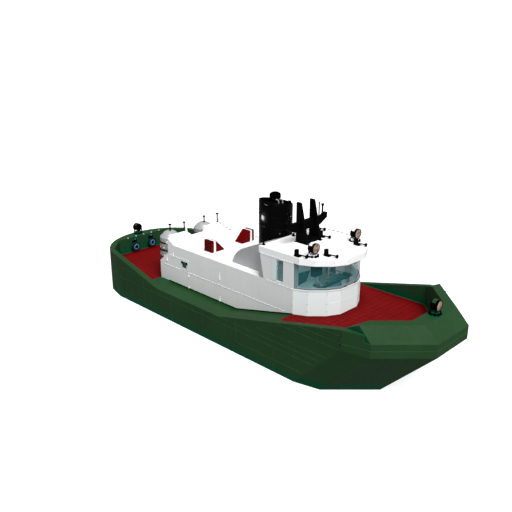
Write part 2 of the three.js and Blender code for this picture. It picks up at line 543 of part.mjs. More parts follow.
function screw(y) {
  const { station, height, hub, bossHalf, radius, blades } = SCREW;
  const boss = rod([station - bossHalf, y, height], [station + bossHalf, y, height], hub, 16);
  const parts = [boss];
  for (let i = 0; i < blades; i += 1) {
    const outline = [[-0.28, 0.2], [0.28, 0.2], [0.62, 1.05], [0.4, radius - 0.05], [0, radius], [-0.4, radius - 0.1], [-0.5, 0.9]];
    const blade = extrusion(outline, 0.1).translate(0, 0, -0.05);
    blade.rotateX(Math.PI / 2).rotateZ(Math.PI / 2 + Math.PI / 5);
    blade.rotateX((i * 2 * Math.PI) / blades).translate(station, y, height);
    parts.push(solidOf(inFrames(blade)));
  }
  return join(...parts);
}

function rudder(y) {
  const { station, low, high, aft, forward } = RUDDER;
  const plan = [[station - aft, y], [station, y - 0.17], [station + forward * 0.6, y - 0.14], [station + forward, y],
    [station + forward * 0.6, y + 0.14], [station, y + 0.17]];
  const blade = planPrism(plan, low, high - 0.35);
  const stock = rod([station, y, high - 0.6], [station, y, TUNNEL.height - GAP], 0.17, 12);
  return join(blade, stock);
}

for (const { name, sign } of SIDES) {
  const y = offsetOn(sign, SCREW.offset);
  place(`propeller_${name}`, screw(y), bronze);
  place(`rudder_${name}`, rudder(y), steel);
}

export default tug;
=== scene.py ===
# A harbour tugboat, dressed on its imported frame.
#
# Metres, +X to the bow, +Y to port, +Z up. The boat is laid out on a square grid of hull frames:
# stations are counted in frames forward of the aft end of the straight side, offsets in frames to
# port of the starboard side, and heights in frames above the bottom. One frame is 250 mm.
import math

import bmesh
import bpy
from mathutils import Matrix, Vector


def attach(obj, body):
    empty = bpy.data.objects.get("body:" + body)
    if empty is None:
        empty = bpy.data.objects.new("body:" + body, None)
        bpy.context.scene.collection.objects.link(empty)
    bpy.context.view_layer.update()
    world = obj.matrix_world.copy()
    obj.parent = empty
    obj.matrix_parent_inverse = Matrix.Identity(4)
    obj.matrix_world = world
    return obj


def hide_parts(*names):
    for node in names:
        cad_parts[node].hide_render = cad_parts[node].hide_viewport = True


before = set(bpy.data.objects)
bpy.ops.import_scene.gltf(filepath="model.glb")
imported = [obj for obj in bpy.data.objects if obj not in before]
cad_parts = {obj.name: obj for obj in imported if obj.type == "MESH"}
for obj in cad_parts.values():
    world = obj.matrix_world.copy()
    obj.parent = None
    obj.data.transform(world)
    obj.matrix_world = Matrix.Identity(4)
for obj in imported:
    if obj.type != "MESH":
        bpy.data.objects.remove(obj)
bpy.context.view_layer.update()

FRAME = 0.25
MID_STATION = 26.0
MIDDLE = 11.0
BEAM = 22.0
MM = 0.001 / FRAME
GRID = (Matrix.Translation((-MID_STATION * FRAME, -MIDDLE * FRAME, 0))
        @ Matrix.Diagonal((FRAME, FRAME, FRAME, 1)))
AHEAD, ASTERN, TO_PORT, UP, DOWN = (1, 0, 0), (-1, 0, 0), (0, 1, 0), (0, 0, 1), (0, 0, -1)
SIDES = {"starboard": -1, "port": 1}
HULL_EDGE, HOUSE_EDGE = 0, 4
HOUSE_ROOF, BRIDGE_ROOF = 12, 17
CORNER_STEPS = 4


def on_side(sign, offset):
    """An offset given for the starboard side, on the side that sign names."""
    return offset if sign < 0 else BEAM - offset


def both(*stems):
    """The names of a pair of nodes for each stem."""
    return [f"{stem}_{name}" for stem in stems for name in SIDES]


# Camera, stage and light

CAMERA = {"location": (17.546, -17.691, 11.848), "pitch": 90 - 19.65, "heading": 45, "lens": 44.42,
          "sensor": 36, "reach": 500}
KEY = {"power": 4.0, "spread": 38, "from": (0.52, -0.21, 0.83)}
GLINT = {"location": (0.707, -0.818, 4.92), "power": 80, "radius": 0.11}
FILL = {"Color": (0.97, 0.99, 1.0, 1), "Strength": 0.39}
FLOOR = {"radius": 220, "shade": 0.5, "glow": 0.8}
BACKDROP = {"radius": 200, "shade": 0.8, "glow": 1.0}


def add_object(name, data):
    obj = bpy.data.objects.new(name, data)
    bpy.context.scene.collection.objects.link(obj)
    return obj


def link_mesh(name, bm, material):
    mesh = bpy.data.meshes.new(name)
    bmesh.ops.recalc_face_normals(bm, faces=bm.faces)
    bm.to_mesh(mesh)
    bm.free()
    mesh.materials.append(material)
    return add_object(name, mesh)


def make_camera():
    data = bpy.data.cameras.new("camera")
    data.lens, data.sensor_width, data.clip_end = CAMERA["lens"], CAMERA["sensor"], CAMERA["reach"]
    camera = add_object("camera", data)
    camera.location = CAMERA["location"]
    camera.rotation_euler = (math.radians(CAMERA["pitch"]), 0, math.radians(CAMERA["heading"]))
    bpy.context.scene.camera = camera


def make_light(name, kind, power):
    data = bpy.data.lights.new(name, kind)
    data.energy = power
    return add_object(name, data)


def stage_material(name, shade, glow):
    material = bpy.data.materials.new(name)
    material.use_nodes = True
    for key, value in (("Base Color", (shade, shade, shade, 1)), ("Roughness", 0.9),
                       ("Specular IOR Level", 0.1), ("Emission Color", (1, 1, 1, 1)),
                       ("Emission Strength", glow)):
        material.node_tree.nodes["Principled BSDF"].inputs[key].default_value = value
    return material


def make_studio():
    """A pale floor, a white backdrop, one broad key light, a glint on the funnel and an even fill."""
    bm = bmesh.new()
    bmesh.ops.create_circle(bm, cap_ends=True, segments=64, radius=FLOOR["radius"])
    floor = link_mesh("studio_floor", bm, stage_material("floor_pale", FLOOR["shade"], FLOOR["glow"]))
    bm = bmesh.new()
    bmesh.ops.create_uvsphere(bm, u_segments=48, v_segments=24, radius=BACKDROP["radius"])
    bmesh.ops.reverse_faces(bm, faces=bm.faces)
    backdrop = link_mesh("studio_backdrop", bm,
                         stage_material("backdrop_pale", BACKDROP["shade"], BACKDROP["glow"]))
    for stage in (floor, backdrop):
        stage.visible_diffuse = stage.visible_glossy = False
    backdrop.visible_shadow = False

    key = make_light("key", "SUN", KEY["power"])
    key.data.angle = math.radians(KEY["spread"])
    key.rotation_euler = Vector(KEY["from"]).to_track_quat("Z", "Y").to_euler()
    glint = make_light("glint", "POINT", GLINT["power"])
    glint.data.shadow_soft_size = GLINT["radius"]
    glint.location = GLINT["location"]
    glint.visible_camera = glint.visible_diffuse = glint.visible_transmission = False

    world = bpy.data.worlds.new("studio")
    world.use_nodes = True
    for key_name, value in FILL.items():
        world.node_tree.nodes["Background"].inputs[key_name].default_value = value
    bpy.context.scene.world = world
    bpy.context.scene.view_settings.view_transform = "Standard"


# Shapes, made in frames on the grid. Each adds to the mesh that it is given.

def turn(count, start=0.0):
    """Angles evenly round a circle."""
    return [2 * math.pi * (i + start) / count for i in range(count)]


def square_to(axis):
    """Two directions square to an axis and to each other."""
    axis = Vector(axis).normalized()
    helper = Vector(UP) if abs(axis.z) < 0.9 else Vector(AHEAD)
    first = axis.cross(helper).normalized()
    return first, axis.cross(first)


def circle(bm, centre, u, v, radius, sides):
    return [bm.verts.new(centre + (u * math.cos(a) + v * math.sin(a)) * radius) for a in turn(sides)]


def skin(bm, rings, closed=False):
    """Joins rings of vertices in turn, and caps the ends or joins the last ring to the first."""
    for here, after in zip(rings, rings[1:] + rings[:1] if closed else rings[1:]):
        for i, vert in enumerate(here):
            j = (i + 1) % len(here)
            bm.faces.new((vert, here[j], after[j], after[i]))
    if not closed:
        bm.faces.new(rings[0][::-1])
        bm.faces.new(rings[-1])


def loft(bm, *outlines):
    """A closed solid through outlines whose points match one to one."""
    skin(bm, [[bm.verts.new(point) for point in outline] for outline in outlines])


def plan(bm, outline, low, high):
    """A plan outline (station, offset) raised between two heights."""
    loft(bm, *([(x, y, z) for x, y in outline] for z in (low, high)))


def side(bm, outline, near, far):
    """A side profile (station, height) drawn out between two offsets."""
    loft(bm, *([(x, y, z) for x, z in outline] for y in (near, far)))


def section(bm, outline, aft, forward):
    """A cross section (offset, height) drawn out between two stations."""
    loft(bm, *([(x, y, z) for y, z in outline] for x in (aft, forward)))


def taper(bm, *ends):
    """A block between two level rectangles, each given as stations, offsets and height."""
    loft(bm, *([(x0, y0, z), (x1, y0, z), (x1, y1, z), (x0, y1, z)] for (x0, x1), (y0, y1), z in ends))


def box(bm, x, y, z):
    taper(bm, (x, y, z[0]), (x, y, z[1]))


def block(bm, x, y, half_x, half_y, z):
    box(bm, (x - half_x, x + half_x), (y - half_y, y + half_y), z)


def lathe(bm, origin, axis, profile, sides=24):
    """A round solid about an axis, from a profile of (distance along, radius)."""
    origin, axis = Vector(origin), Vector(axis).normalized()
    u, v = square_to(axis)
    rings = []
    for along, radius in profile:
        centre = origin + axis * along
        rings.append(circle(bm, centre, u, v, radius, sides) if radius > 0 else [bm.verts.new(centre)])
    for here, after in zip(rings, rings[1:]):
        for i in range(sides):
            j = (i + 1) % sides
            corners = [here[i % len(here)], here[j % len(here)], after[j % len(after)], after[i % len(after)]]
            corners = list(dict.fromkeys(corners))
            if len(corners) > 2:
                bm.faces.new(corners)
    for end in (rings[0], rings[-1]):
        if len(end) > 1:
            bm.faces.new(end)


def rod(bm, start, end, radius, sides=12):
    along = Vector(end) - Vector(start)
    lathe(bm, start, along, [(0, radius), (along.length, radius)], sides)


def bolt(bm, centre, outward, radius=0.05, proud=0.03):
    centre, outward = Vector(centre), Vector(outward).normalized()
    profile = [(0, radius), (proud * 0.7, radius), (proud, radius * 0.7)]
    lathe(bm, centre - outward * 0.01, outward, profile, 8)


def ring(bm, centre, axis, radius, thickness, sides=32, turns=10):
    """A round ring of round section."""
    centre, axis = Vector(centre), Vector(axis).normalized()
    u, v = square_to(axis)
    outs = [u * math.cos(a) + v * math.sin(a) for a in turn(sides)]
    skin(bm, [circle(bm, centre + out * radius, out, axis, thickness, turns) for out in outs], closed=True)


def tube(bm, points, radius, sides=8):
    """A round tube along a path of points, closed at both ends."""
    points = [Vector(p) for p in points]
    u, rings = None, []
    for i, point in enumerate(points):
        along = (points[min(i + 1, len(points) - 1)] - points[max(i - 1, 0)]).normalized()
        u = square_to(along)[0] if u is None else (u - along * u.dot(along)).normalized()
        rings.append(circle(bm, point, u, along.cross(u), radius, sides))
    skin(bm, rings)


def hoop(bm, points, radius, sides=6):
    """A round tube along a closed path."""
    points = [Vector(p) for p in points]
    rings = []
    for i, point in enumerate(points):
        along = (points[(i + 1) % len(points)] - points[i - 1]).normalized()
        u = along.cross(Vector(UP)).normalized()
        rings.append(circle(bm, point, u, along.cross(u), radius, sides))
    skin(bm, rings, closed=True)


def bead(bm, start, end, outward, width=14 * MM, proud=5 * MM):
    """A weld bead or panel seam: a low ridge from start to end, standing proud of a face."""
    start, end, outward = Vector(start), Vector(end), Vector(outward).normalized()
    across = (end - start).cross(outward).normalized() * width / 2
    crest, sunk = outward * proud, outward * -2 * MM
    loft(bm, *([p - across + sunk, p + across + sunk, p + across * 0.4 + crest, p - across * 0.4 + crest]
               for p in (start, end)))


def chip(bm, start, end, outward, width, proud):
    """A short raised seam whose face leans back from its lower edge, so that it catches light from above."""
    start, end, outward = Vector(start), Vector(end), Vector(outward).normalized()
    across = (end - start).cross(outward).normalized() * width / 2
    corners = [start - across, start + across, end + across, end - across]
    highest, lowest = max(c.z for c in corners), min(c.z for c in corners)
    loft(bm, [c - outward * 0.01 for c in corners],
         [c + outward * proud * (highest - c.z) / (highest - lowest) for c in corners])


def rounded(low, high, radius):
    """A rectangle with its corners rounded off, as a closed list of points."""
    left, right, foot, head = low[0] + radius, high[0] - radius, low[1] + radius, high[1] - radius
    points = []
    for quarter, (x, y) in enumerate(((right, head), (left, head), (left, foot), (right, foot))):
        for i in range(CORNER_STEPS + 1):
            a = math.radians(90 * (quarter + i / CORNER_STEPS))
            points.append((x + radius * math.cos(a), y + radius * math.sin(a)))
    return points


def flat_ring(bm, outer, inner, place, thickness):
    """A flat ring between two matching outlines; place turns (a, b, depth) into a grid point."""
    loops = ((outer, 0), (outer, thickness), (inner, thickness), (inner, 0))
    rings = [[bm.verts.new(place(a, b, depth)) for a, b in outline] for outline, depth in loops]
    skin(bm, rings, closed=True)


def wall_rim(bm, outer, inner, face, sign, sunk, thickness):
    """A rounded rim on an upright face; outer and inner are (low corner, high corner, corner radius)."""
    flat_ring(bm, rounded(*outer), rounded(*inner), lambda a, b, depth: (a, face + sign * (depth - sunk), b),
              thickness)


def offset_plan(points, inset):
    """Moves an open outline inwards, to the left of the way that it runs."""
    moved = []
    for i, (x, y) in enumerate(points):
        normals = []
        before, after = points[max(i - 1, 0)], points[min(i + 1, len(points) - 1)]
        for (ax, ay), (bx, by) in ((before, (x, y)), ((x, y), after)):
            length = math.hypot(bx - ax, by - ay)
            if length:
                normals.append((-(by - ay) / length, (bx - ax) / length))
        (ax, ay), (bx, by) = normals if len(normals) == 2 else normals * 2
        scale = inset / (1 + ax * bx + ay * by)
        moved.append((x + (ax + bx) * scale, y + (ay + by) * scale))
    return moved


def band(bm, points, outer, inner, low, high):
    """A wall of even thickness that follows an open outline."""
    plan(bm, offset_plan(points, outer) + offset_plan(points, inner)[::-1], low, high)


def piece(name, finish, parts, body="boat", slot=None, bevel=0.0, smooth=35, replaces=()):
    """Makes a piece of parts, each a shape's function and its arguments after the mesh. The bevel is in
    metres, and edges under smooth degrees are shaded round."""
    bm = bmesh.new()
    for shape, *details in parts:
        shape(bm, *details)
    bm.transform(GRID)
    obj = link_mesh(name, bm, FINISHES[finish])
    obj.data.polygons.foreach_set("use_smooth", [True] * len(obj.data.polygons))
    obj.data.set_sharp_from_angle(angle=math.radians(smooth))
    if bevel:
        edge = obj.modifiers.new("edge", "BEVEL")
        edge.width, edge.segments, edge.limit_method = bevel, 2, "ANGLE"
        edge.angle_limit = math.radians(30)
        edge.harden_normals = True
    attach(obj, body)
    slot or SLOT_OF[finish]
    if replaces:
        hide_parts(*replaces)


# Materials

HOUSE_SIDE = 1.75
HOUSE_END = 3.6


def linear(colour):
    """A colour given as it looks on a screen, 0 to 255, as the renderer's linear values."""
    return tuple(v / 12.92 if v <= 0.04045 else ((v + 0.055) / 1.055) ** 2.4
                 for v in (c / 255 for c in colour))


def scaled(colour, factor):
    return tuple(min(1.0, value * factor) for value in colour)


class Finish:
    """A node material about one principled shader, with the few node patterns that the finishes share."""

    def __init__(self, name):
        self.material = bpy.data.materials.new(name)
        self.material.use_nodes = True
        self.tree = self.material.node_tree
        self.shader = self.tree.nodes["Principled BSDF"]
        self.place = self.node("TexCoord").outputs["Object"]

    def feed(self, socket, value):
        if isinstance(value, bpy.types.NodeSocket):
            self.tree.links.new(value, socket)
        else:
            socket.default_value = (*value, 1) if socket.type == "RGBA" else value

    def node(self, kind, inputs=None, **settings):
        """Adds a node, sets its options, and feeds the inputs given by name or number."""
        node = self.tree.nodes.new(f"ShaderNode{kind}")
        for key, value in settings.items():
            setattr(node, key, value)
        for key, value in (inputs or {}).items():
            self.feed(node.inputs[key], value)
        return node

    def set(self, **inputs):
        for key, value in inputs.items():
            self.feed(self.shader.inputs[key.replace("_", " ")], value)

    def stretch(self, x, y, z):
        return self.node("Mapping", {"Vector": self.place, "Scale": (x, y, z)}).outputs["Vector"]

    def noise(self, scale, detail=4.0, roughness=0.55, vector=None):
        return self.node("TexNoise", {"Vector": vector or self.place, "Scale": scale, "Detail": detail,
                                      "Roughness": roughness}).outputs["Fac"]

    def spread(self, value, low, high, to_low=0.0, to_high=1.0):
        return self.node("MapRange", {"Value": value, "From Min": low, "From Max": high, "To Min": to_low,
                                      "To Max": to_high}).outputs["Result"]

    def mix(self, factor, first, second):
        node = self.node("Mix", {0: factor, 6: first, 7: second}, data_type="RGBA", blend_type="MIX")
        return node.outputs[2]

    def maths(self, operation, first, second=0.0):
        return self.node("Math", {0: first, 1: second}, operation=operation).outputs[0]

    def edges(self, radius):
        """1 along outer edges that rub bare, 0 on the faces, and the rounded normal that shows it."""
        rounded_normal = self.node("Bevel", {"Radius": radius}, samples=4).outputs["Normal"]
        flat = self.node("NewGeometry").outputs["Normal"]
        dot = self.node("VectorMath", {0: rounded_normal, 1: flat}, operation="DOT_PRODUCT")
        return self.spread(dot.outputs["Value"], 0.995, 0.85), rounded_normal

    def corner(self, reach, deep, clear):
        """1 deep in a corner between faces, 0 on open faces: the mask for painted shade; reach is in metres.
        """
        shade = self.node("AmbientOcclusion", {"Distance": reach}, samples=8)
        return self.spread(shade.outputs["AO"], clear, deep)

    def outboard(self):
        """0 beside the house, rising to 1 at the bulwarks and beyond the house's ends."""
        split = self.node("SeparateXYZ", {"Vector": self.place}).outputs
        across = self.spread(self.maths("ABSOLUTE", split["Y"]), HOUSE_SIDE + 0.3, HOUSE_SIDE + 0.6)
        along = self.spread(self.maths("ABSOLUTE", split["X"]), HOUSE_END, HOUSE_END + 0.3)
        return self.maths("MAXIMUM", across, along)

    def bumped(self, height, strength, distance, normal=None):
        """Adds the bump, the last step of a finish, and gives back the material."""
        node = self.node("Bump", {"Height": height, "Strength": strength, "Distance": distance})
        if normal is not None:
            self.tree.links.new(normal, node.inputs["Normal"])
        self.tree.links.new(node.outputs["Normal"], self.shader.inputs["Normal"])
        return self.material


def paint(name, colour, roughness, worn, dirt, variation=0.1, streaks=0.25, wear=0.5, specular=0.3,
          grain=0.35, corners=None, glow=0.0, lift=1.0):
    """Sprayed paint on plate: uneven tone, run-down streaks, rubbed edges and a faint orange peel.
    corners gives painted shade: darker colours laid where faces meet in corners, one by the house and one by
    the bulwarks. glow adds a painted glow, and lift makes a lighter copy of the colour."""
    f = Finish(name)
    colour = scaled(linear(colour), lift)
    broad = f.noise(0.55, 3.0)
    fine = f.noise(9.0, 8.0, 0.6)
    drips = f.noise(1.0, 5.0, 0.6, f.stretch(7.0, 7.0, 0.6))
    speck = f.noise(60.0, 2.0)
    tone = f.mix(f.spread(broad, 0.35, 0.65), scaled(colour, 1 - variation), scaled(colour, 1 + variation))
    tone = f.mix(f.spread(fine, 0.3, 0.7, 0.0, 0.35), tone, scaled(colour, 1 - variation * 1.5))
    tone = f.mix(f.spread(drips, 0.56, 0.78, 0.0, streaks), tone, linear(dirt))
    if corners:
        # Painted shade: the corner colours darken the paint where faces meet.
        tone = f.mix(f.corner(0.5, 0.6, 0.96), tone, f.mix(f.outboard(), *(linear(c) for c in corners)))
    rubbed, rounded_normal = f.edges(0.012)
    tone = f.mix(f.maths("MULTIPLY", rubbed, f.spread(speck, 0.42, 0.62, 0.1, wear)), tone, linear(worn))
    f.set(Base_Color=tone, Roughness=f.spread(fine, 0.3, 0.7, roughness - 0.07, roughness + 0.1),
          Specular_IOR_Level=specular)
    # Emission on paint: a painted glow, used on the roofs.
    if glow:
        f.set(Emission_Color=(1.0, 1.0, 1.0), Emission_Strength=glow)
    return f.bumped(f.noise(38.0, 3.0), grain, 0.002, rounded_normal)


def tread_paint(name, colour, groove, corners):
    """Non-slip deck paint laid in square tiles, scuffed pale where people walk. corners gives painted shade,
    a deeper red where the deck meets walls.
    """
    f = Finish(name)
    colour = linear(colour)
    tiles = f.node("TexBrick", {
        "Vector": f.place, "Scale": 1.0, "Mortar Size": 0.012, "Mortar Smooth": 0.4, "Brick Width": FRAME,
        "Row Height": FRAME, "Color1": scaled(colour, 0.92), "Color2": scaled(colour, 1.08),
        "Mortar": linear(groove)}, offset=0.0)
    grit = f.noise(130.0, 3.0, 0.7)
    scuffs = f.noise(1.3, 6.0, 0.62)
    tone = f.mix(f.spread(scuffs, 0.5, 0.75, 0.0, 0.3), tiles.outputs["Color"], scaled(colour, 1.45))
    tone = f.mix(f.spread(grit, 0.35, 0.65, 0.0, 0.35), tone, scaled(colour, 0.6))
    # Painted shade: a deeper red in the corners, where shade falls.
    tone = f.mix(f.corner(0.5, 0.62, 0.97), tone, linear(corners))
    f.set(Base_Color=tone, Roughness=f.spread(grit, 0.3, 0.7, 0.6, 0.85), Specular_IOR_Level=0.04)
    return f.bumped(f.maths("SUBTRACT", f.maths("MULTIPLY", grit, 0.4), tiles.outputs["Fac"]), 0.6, 0.004)


def tinted_glass(name, colour, alpha, roughness=0.04):
    """Clear tinted glass with salt smears: see-through, with a wet shine."""
    f = Finish(name)
    colour = linear(colour)
    smears = f.noise(2.2, 6.0, 0.6, f.stretch(1.0, 1.0, 0.35))
    f.set(Base_Color=f.mix(f.spread(smears, 0.35, 0.7), colour, scaled(colour, 1.3)),
          Roughness=f.spread(smears, 0.4, 0.75, roughness, roughness + 0.12), Alpha=alpha,
          Specular_IOR_Level=0.5)
    return f.bumped(f.noise(1.2, 2.0), 0.04, 0.01)


def lens_glass(name, colour, mottled):
    """The ribbed front glass of a searchlight, mottled warm and brown."""
    f = Finish(name)
    ribs = f.node("TexWave", {"Vector": f.place, "Scale": 22.0, "Distortion": 0.0, "Detail": 0.0},
                  bands_direction="Z")
    mottle = f.noise(7.0, 3.0)
    f.set(Base_Color=f.mix(f.spread(mottle, 0.35, 0.65), linear(colour), linear(mottled)),
          Roughness=f.spread(mottle, 0.3, 0.7, 0.12, 0.22), Specular_IOR_Level=0.6, Coat_Weight=0.6,
          Coat_Roughness=0.05)
    return f.bumped(ribs.outputs["Fac"], 0.25, 0.003)


def rubber(name, colour):
    f = Finish(name)
    colour = linear(colour)
    dust = f.noise(6.0, 6.0, 0.6)
    f.set(Base_Color=f.mix(f.spread(dust, 0.5, 0.8, 0.0, 0.5), colour, scaled(colour, 2.4)),
          Roughness=f.spread(dust, 0.3, 0.7, 0.62, 0.85), Specular_IOR_Level=0.25)
    return f.bumped(f.noise(120.0, 2.0), 0.4, 0.001)


def metal(name, colour, stain, roughness, stained=0.5):
    """Bare or cast metal with stains and fine scratches."""
    f = Finish(name)
    patches = f.noise(5.0, 7.0, 0.62)
    scratches = f.noise(30.0, 2.0, 0.5, f.stretch(1.0, 1.0, 12.0))
    f.set(Base_Color=f.mix(f.spread(patches, 0.48, 0.7, 0.0, stained), linear(colour), linear(stain)),
          Roughness=f.spread(patches, 0.35, 0.7, roughness, roughness + 0.25), Metallic=1.0)
    return f.bumped(f.maths("ADD", f.maths("MULTIPLY", scratches, 0.4), patches), 0.2, 0.002)


def panelling(name, colour, grain_colour):
    """Dark cabin panelling with a long faint grain."""
    f = Finish(name)
    grain = f.noise(1.0, 6.0, 0.65, f.stretch(2.0, 28.0, 28.0))
    f.set(Base_Color=f.mix(f.spread(grain, 0.35, 0.65), linear(colour), linear(grain_colour)),
          Roughness=f.spread(grain, 0.3, 0.7, 0.35, 0.55))
    return f.bumped(grain, 0.2, 0.002)


def lit_panel(name, colour, strength):
    """A frosted lamp cover, glowing unevenly."""
    f = Finish(name)
    colour = linear(colour)
    frost = f.noise(14.0, 3.0)
    f.set(Base_Color=f.mix(f.spread(frost, 0.35, 0.65), colour, scaled(colour, 0.9)), Emission_Color=colour,
          Emission_Strength=strength, Roughness=0.5)
    return f.bumped(frost, 0.1, 0.001)


def padded_vinyl(name, colour):
    f = Finish(name)
    colour = linear(colour)
    creases = f.node("TexVoronoi", {"Vector": f.place, "Scale": 55.0})
    worn = f.noise(3.0, 5.0)
    f.set(Base_Color=f.mix(f.spread(worn, 0.45, 0.75, 0.0, 0.5), colour, scaled(colour, 2.0)),
          Roughness=f.spread(worn, 0.3, 0.7, 0.42, 0.6), Specular_IOR_Level=0.35)
    return f.bumped(creases.outputs["Distance"], 0.25, 0.001)


GREEN = (36, 66, 38)
BARE_PLATE = (150, 148, 142)
OLD_GREY = (120, 116, 108)
OLD_WHITE = (176, 172, 162)
BARE_BLACK, BLACK_DIRT = (40, 40, 42), (18, 17, 16)

FINISHES = {
    # Painted shade: a near black green in the corners by the house, a dark teal in the corners by the
    # bulwarks.
    "green": paint("hull_green", GREEN, 0.55, (84, 118, 82), (24, 38, 25), specular=0.06,
                   corners=((0, 52, 2), (2, 72, 46))),
    "margin": paint("deck_margin_green", (0, 80, 52), 0.6, (6, 84, 56), (4, 60, 38), specular=0.03,
                    streaks=0.1),
    # A lighter copy of the hull green for the weld beads: a painted highlight.
    "green_seam_highlight": paint("hull_green_seam_painted_highlight", GREEN, 0.55, (104, 135, 100), (40, 60, 42), lift=1.7,
                         specular=0.06, streaks=0.1),
    # Painted shade: the last colour is the deeper red laid in the deck's corners.
    "red": tread_paint("deck_red", (112, 11, 13), (70, 8, 10), (86, 0, 2)),
    "white": paint("house_white", (239, 239, 239), 0.42, OLD_WHITE, (176, 170, 158), variation=0.025,
                   streaks=0.12),
    "front": paint("front_white", (234, 243, 243), 0.42, OLD_WHITE, OLD_WHITE, variation=0.02, streaks=0.1),
    # A little whiter than the walls and glowing: painted light that lifts the roofs to full white and washes
    # out the shadows cast on them.
    "roof": paint("roof_white_painted_glow", (245, 245, 245), 0.5, (215, 213, 208), (210, 207, 200), variation=0.015,
                  streaks=0.05, specular=0.2, glow=0.07),
    "inner": paint("cabin_pale", (204, 224, 226), 0.5, (170, 180, 180), (150, 160, 160), variation=0.03,
                   streaks=0.1, specular=0.2),
    # Whiter than the walls: a painted highlight on the seams.
    "seam": paint("seam_white_painted_highlight", (253, 253, 253), 0.4, (225, 225, 222), (220, 218, 212), variation=0.01,
                  streaks=0.05),
    "housing": paint("housing_grey", (166, 167, 168), 0.45, BARE_PLATE, OLD_GREY, variation=0.03,
                     streaks=0.15),
    # Black soot in the funnel's mouth; the same black is painted shade in the vent throats and at the foot of
    # the house.
    "soot_and_shade": paint("funnel_soot_and_painted_shade", (3, 3, 3), 0.9, (12, 12, 12), (10, 9, 8), variation=0.2, streaks=0.2,
                  specular=0.0, wear=0.2),
    "pipe_grey": paint("pipe_grey", (150, 150, 152), 0.4, (190, 190, 190), (90, 86, 80), streaks=0.3),
    "grey": paint("house_grey", (160, 162, 163), 0.45, BARE_PLATE, OLD_GREY, variation=0.03, streaks=0.15),
    "black": paint("gloss_black", (5, 5, 6), 0.3, BARE_BLACK, BLACK_DIRT, variation=0.2, streaks=0.2,
                   specular=0.03, wear=0.3, grain=0.08),
    "matt_black": paint("matt_black", (6, 6, 7), 0.6, BARE_BLACK, BLACK_DIRT, variation=0.2, streaks=0.2,
                        specular=0.01, wear=0.3),
    "vent_red": paint("vent_red", (96, 0, 1), 0.5, (110, 60, 54), (44, 2, 3), streaks=0.3, specular=0.04),
    "band_red": paint("band_red", (88, 0, 4), 0.45, (96, 30, 30), (50, 4, 6), specular=0.05),
    "blue": paint("reel_blue", (62, 170, 220), 0.3, (150, 190, 205), (24, 70, 92)),
    "primer": paint("steel_grey", (92, 97, 99), 0.55, (140, 140, 138), (84, 62, 48), streaks=0.4,
                    specular=0.25),
    "glass": tinted_glass("window_teal", (26, 104, 108), 0.34),
    "glass_dark": tinted_glass("instrument_glass", (14, 46, 50), 0.9, 0.08),
    "lens": lens_glass("lamp_lens", (184, 152, 130), (98, 66, 48)),
    "rubber": rubber("black_rubber", (20, 20, 21)),
    "steel": metal("bare_steel", (150, 152, 154), (96, 84, 72), 0.32),
    "bronze": metal("screw_bronze", (190, 146, 88), (78, 98, 76), 0.28),
    "zinc": metal("zinc_anode", (168, 170, 172), (120, 118, 108), 0.5),
    "gold": metal("instrument_brass", (206, 160, 84), (120, 84, 44), 0.25, 0.3),
    "edging": panelling("edging_red_brown", (84, 26, 16), (112, 44, 28)),
    "desk": panelling("console_desk", (50, 70, 68), (38, 56, 56)),
    "console": panelling("console_teal", (18, 62, 62), (26, 80, 78)),
    "lit": lit_panel("ceiling_light", (244, 252, 255), 12.0),
    "vinyl": padded_vinyl("seat_vinyl", (132, 150, 152)),
}

SLOT_OF = {finish: slot for slot, finishes in {
    "hull_green": ("green", "margin", "green_seam_highlight"), "deck_red": ("red",),
    "vent_red": ("vent_red", "band_red"),
    "house_white": ("white", "front", "seam", "lit"), "house_grey": ("housing", "grey"),
    "gloss_black": ("soot_and_shade", "black", "matt_black", "rubber", "vinyl"), "reel_blue": ("blue",),
    "steel_grey": ("primer", "steel", "zinc", "pipe_grey"), "window_glass": ("glass_dark", "lens"),
    "screw_bronze": ("bronze", "gold"), "cabin_brown": ("edging", "desk", "console"),
}.items() for finish in finishes}

NODE_FINISH = {
    "green": ["hull"],
    "red": ["aft_deck", "fore_deck"],
    "white": ["casing_aft_wall", "casing_door", "windscreen_frame", *both("casing_side", "wheelhouse_side")],
    "roof": ["casing_roof", "wheelhouse_roof"],
    "inner": ["wheelhouse_bulkhead", "wheelhouse_floor", "helm_console"],
    "front": ["wheelhouse_front"],
    "grey": both("aft_trunk"),
    "housing": ["funnel_housing"],
    "vent_red": both("vent"),
    "glass": ["windscreen", *both("casing_window", "side_window")],
    "black": ["funnel", "exhaust_cap"],
    "matt_black": ["mast", "overhead_panel", "helm_seat", *both("reel_stand")] + [
        f"searchlight_{name}_{part}" for part in ("yoke", "lamp")
        for name in ("bow", "roof_starboard", "roof_port", "stern")],
    "blue": both("hose_reel"),
    "primer": ["engine", *both("rudder")],
    "bronze": both("propeller"),
}


def finish_nodes():
    for finish, names in NODE_FINISH.items():
        for name in names:
            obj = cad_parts[name]
            if not obj.material_slots:
                obj.data.materials.append(FINISHES[finish])
            for slot in obj.material_slots:
                slot.material = FINISHES[finish]


# Hull: seams, rail studs, stern fittings and underwater fittings

SIDE_SEAMS = [
    # height, first station, last station
    (2, 32, 45.6), (4, 0.3, 47.6), (5, 28.4, 48.6), (6, 0.3, 7.8), (6, 36.4, 49.6), (8, 40.6, 51.9),
    (9, 44.4, 51.9), (10, 48.4, 51.9),
]
UPRIGHT_SEAMS = [
    # station, lowest, highest
    (8, 2, 4), (8, 4, 5.9), (16, 0.3, 4), (16, 4, 4.9), (24, 2, 4.9), (32, 2, 4), (32, 4, 5.9), (40, 0.3, 4),
    (44, 4, 6), (48, 4.3, 6), (44, 7.9, 8.9), (48, 8, 9.9),
]
BOW_RING = [(52, 0), (56, 1), (62, 7), (62, 15), (56, 21), (52, 22)]
BOW_SEAM = 9


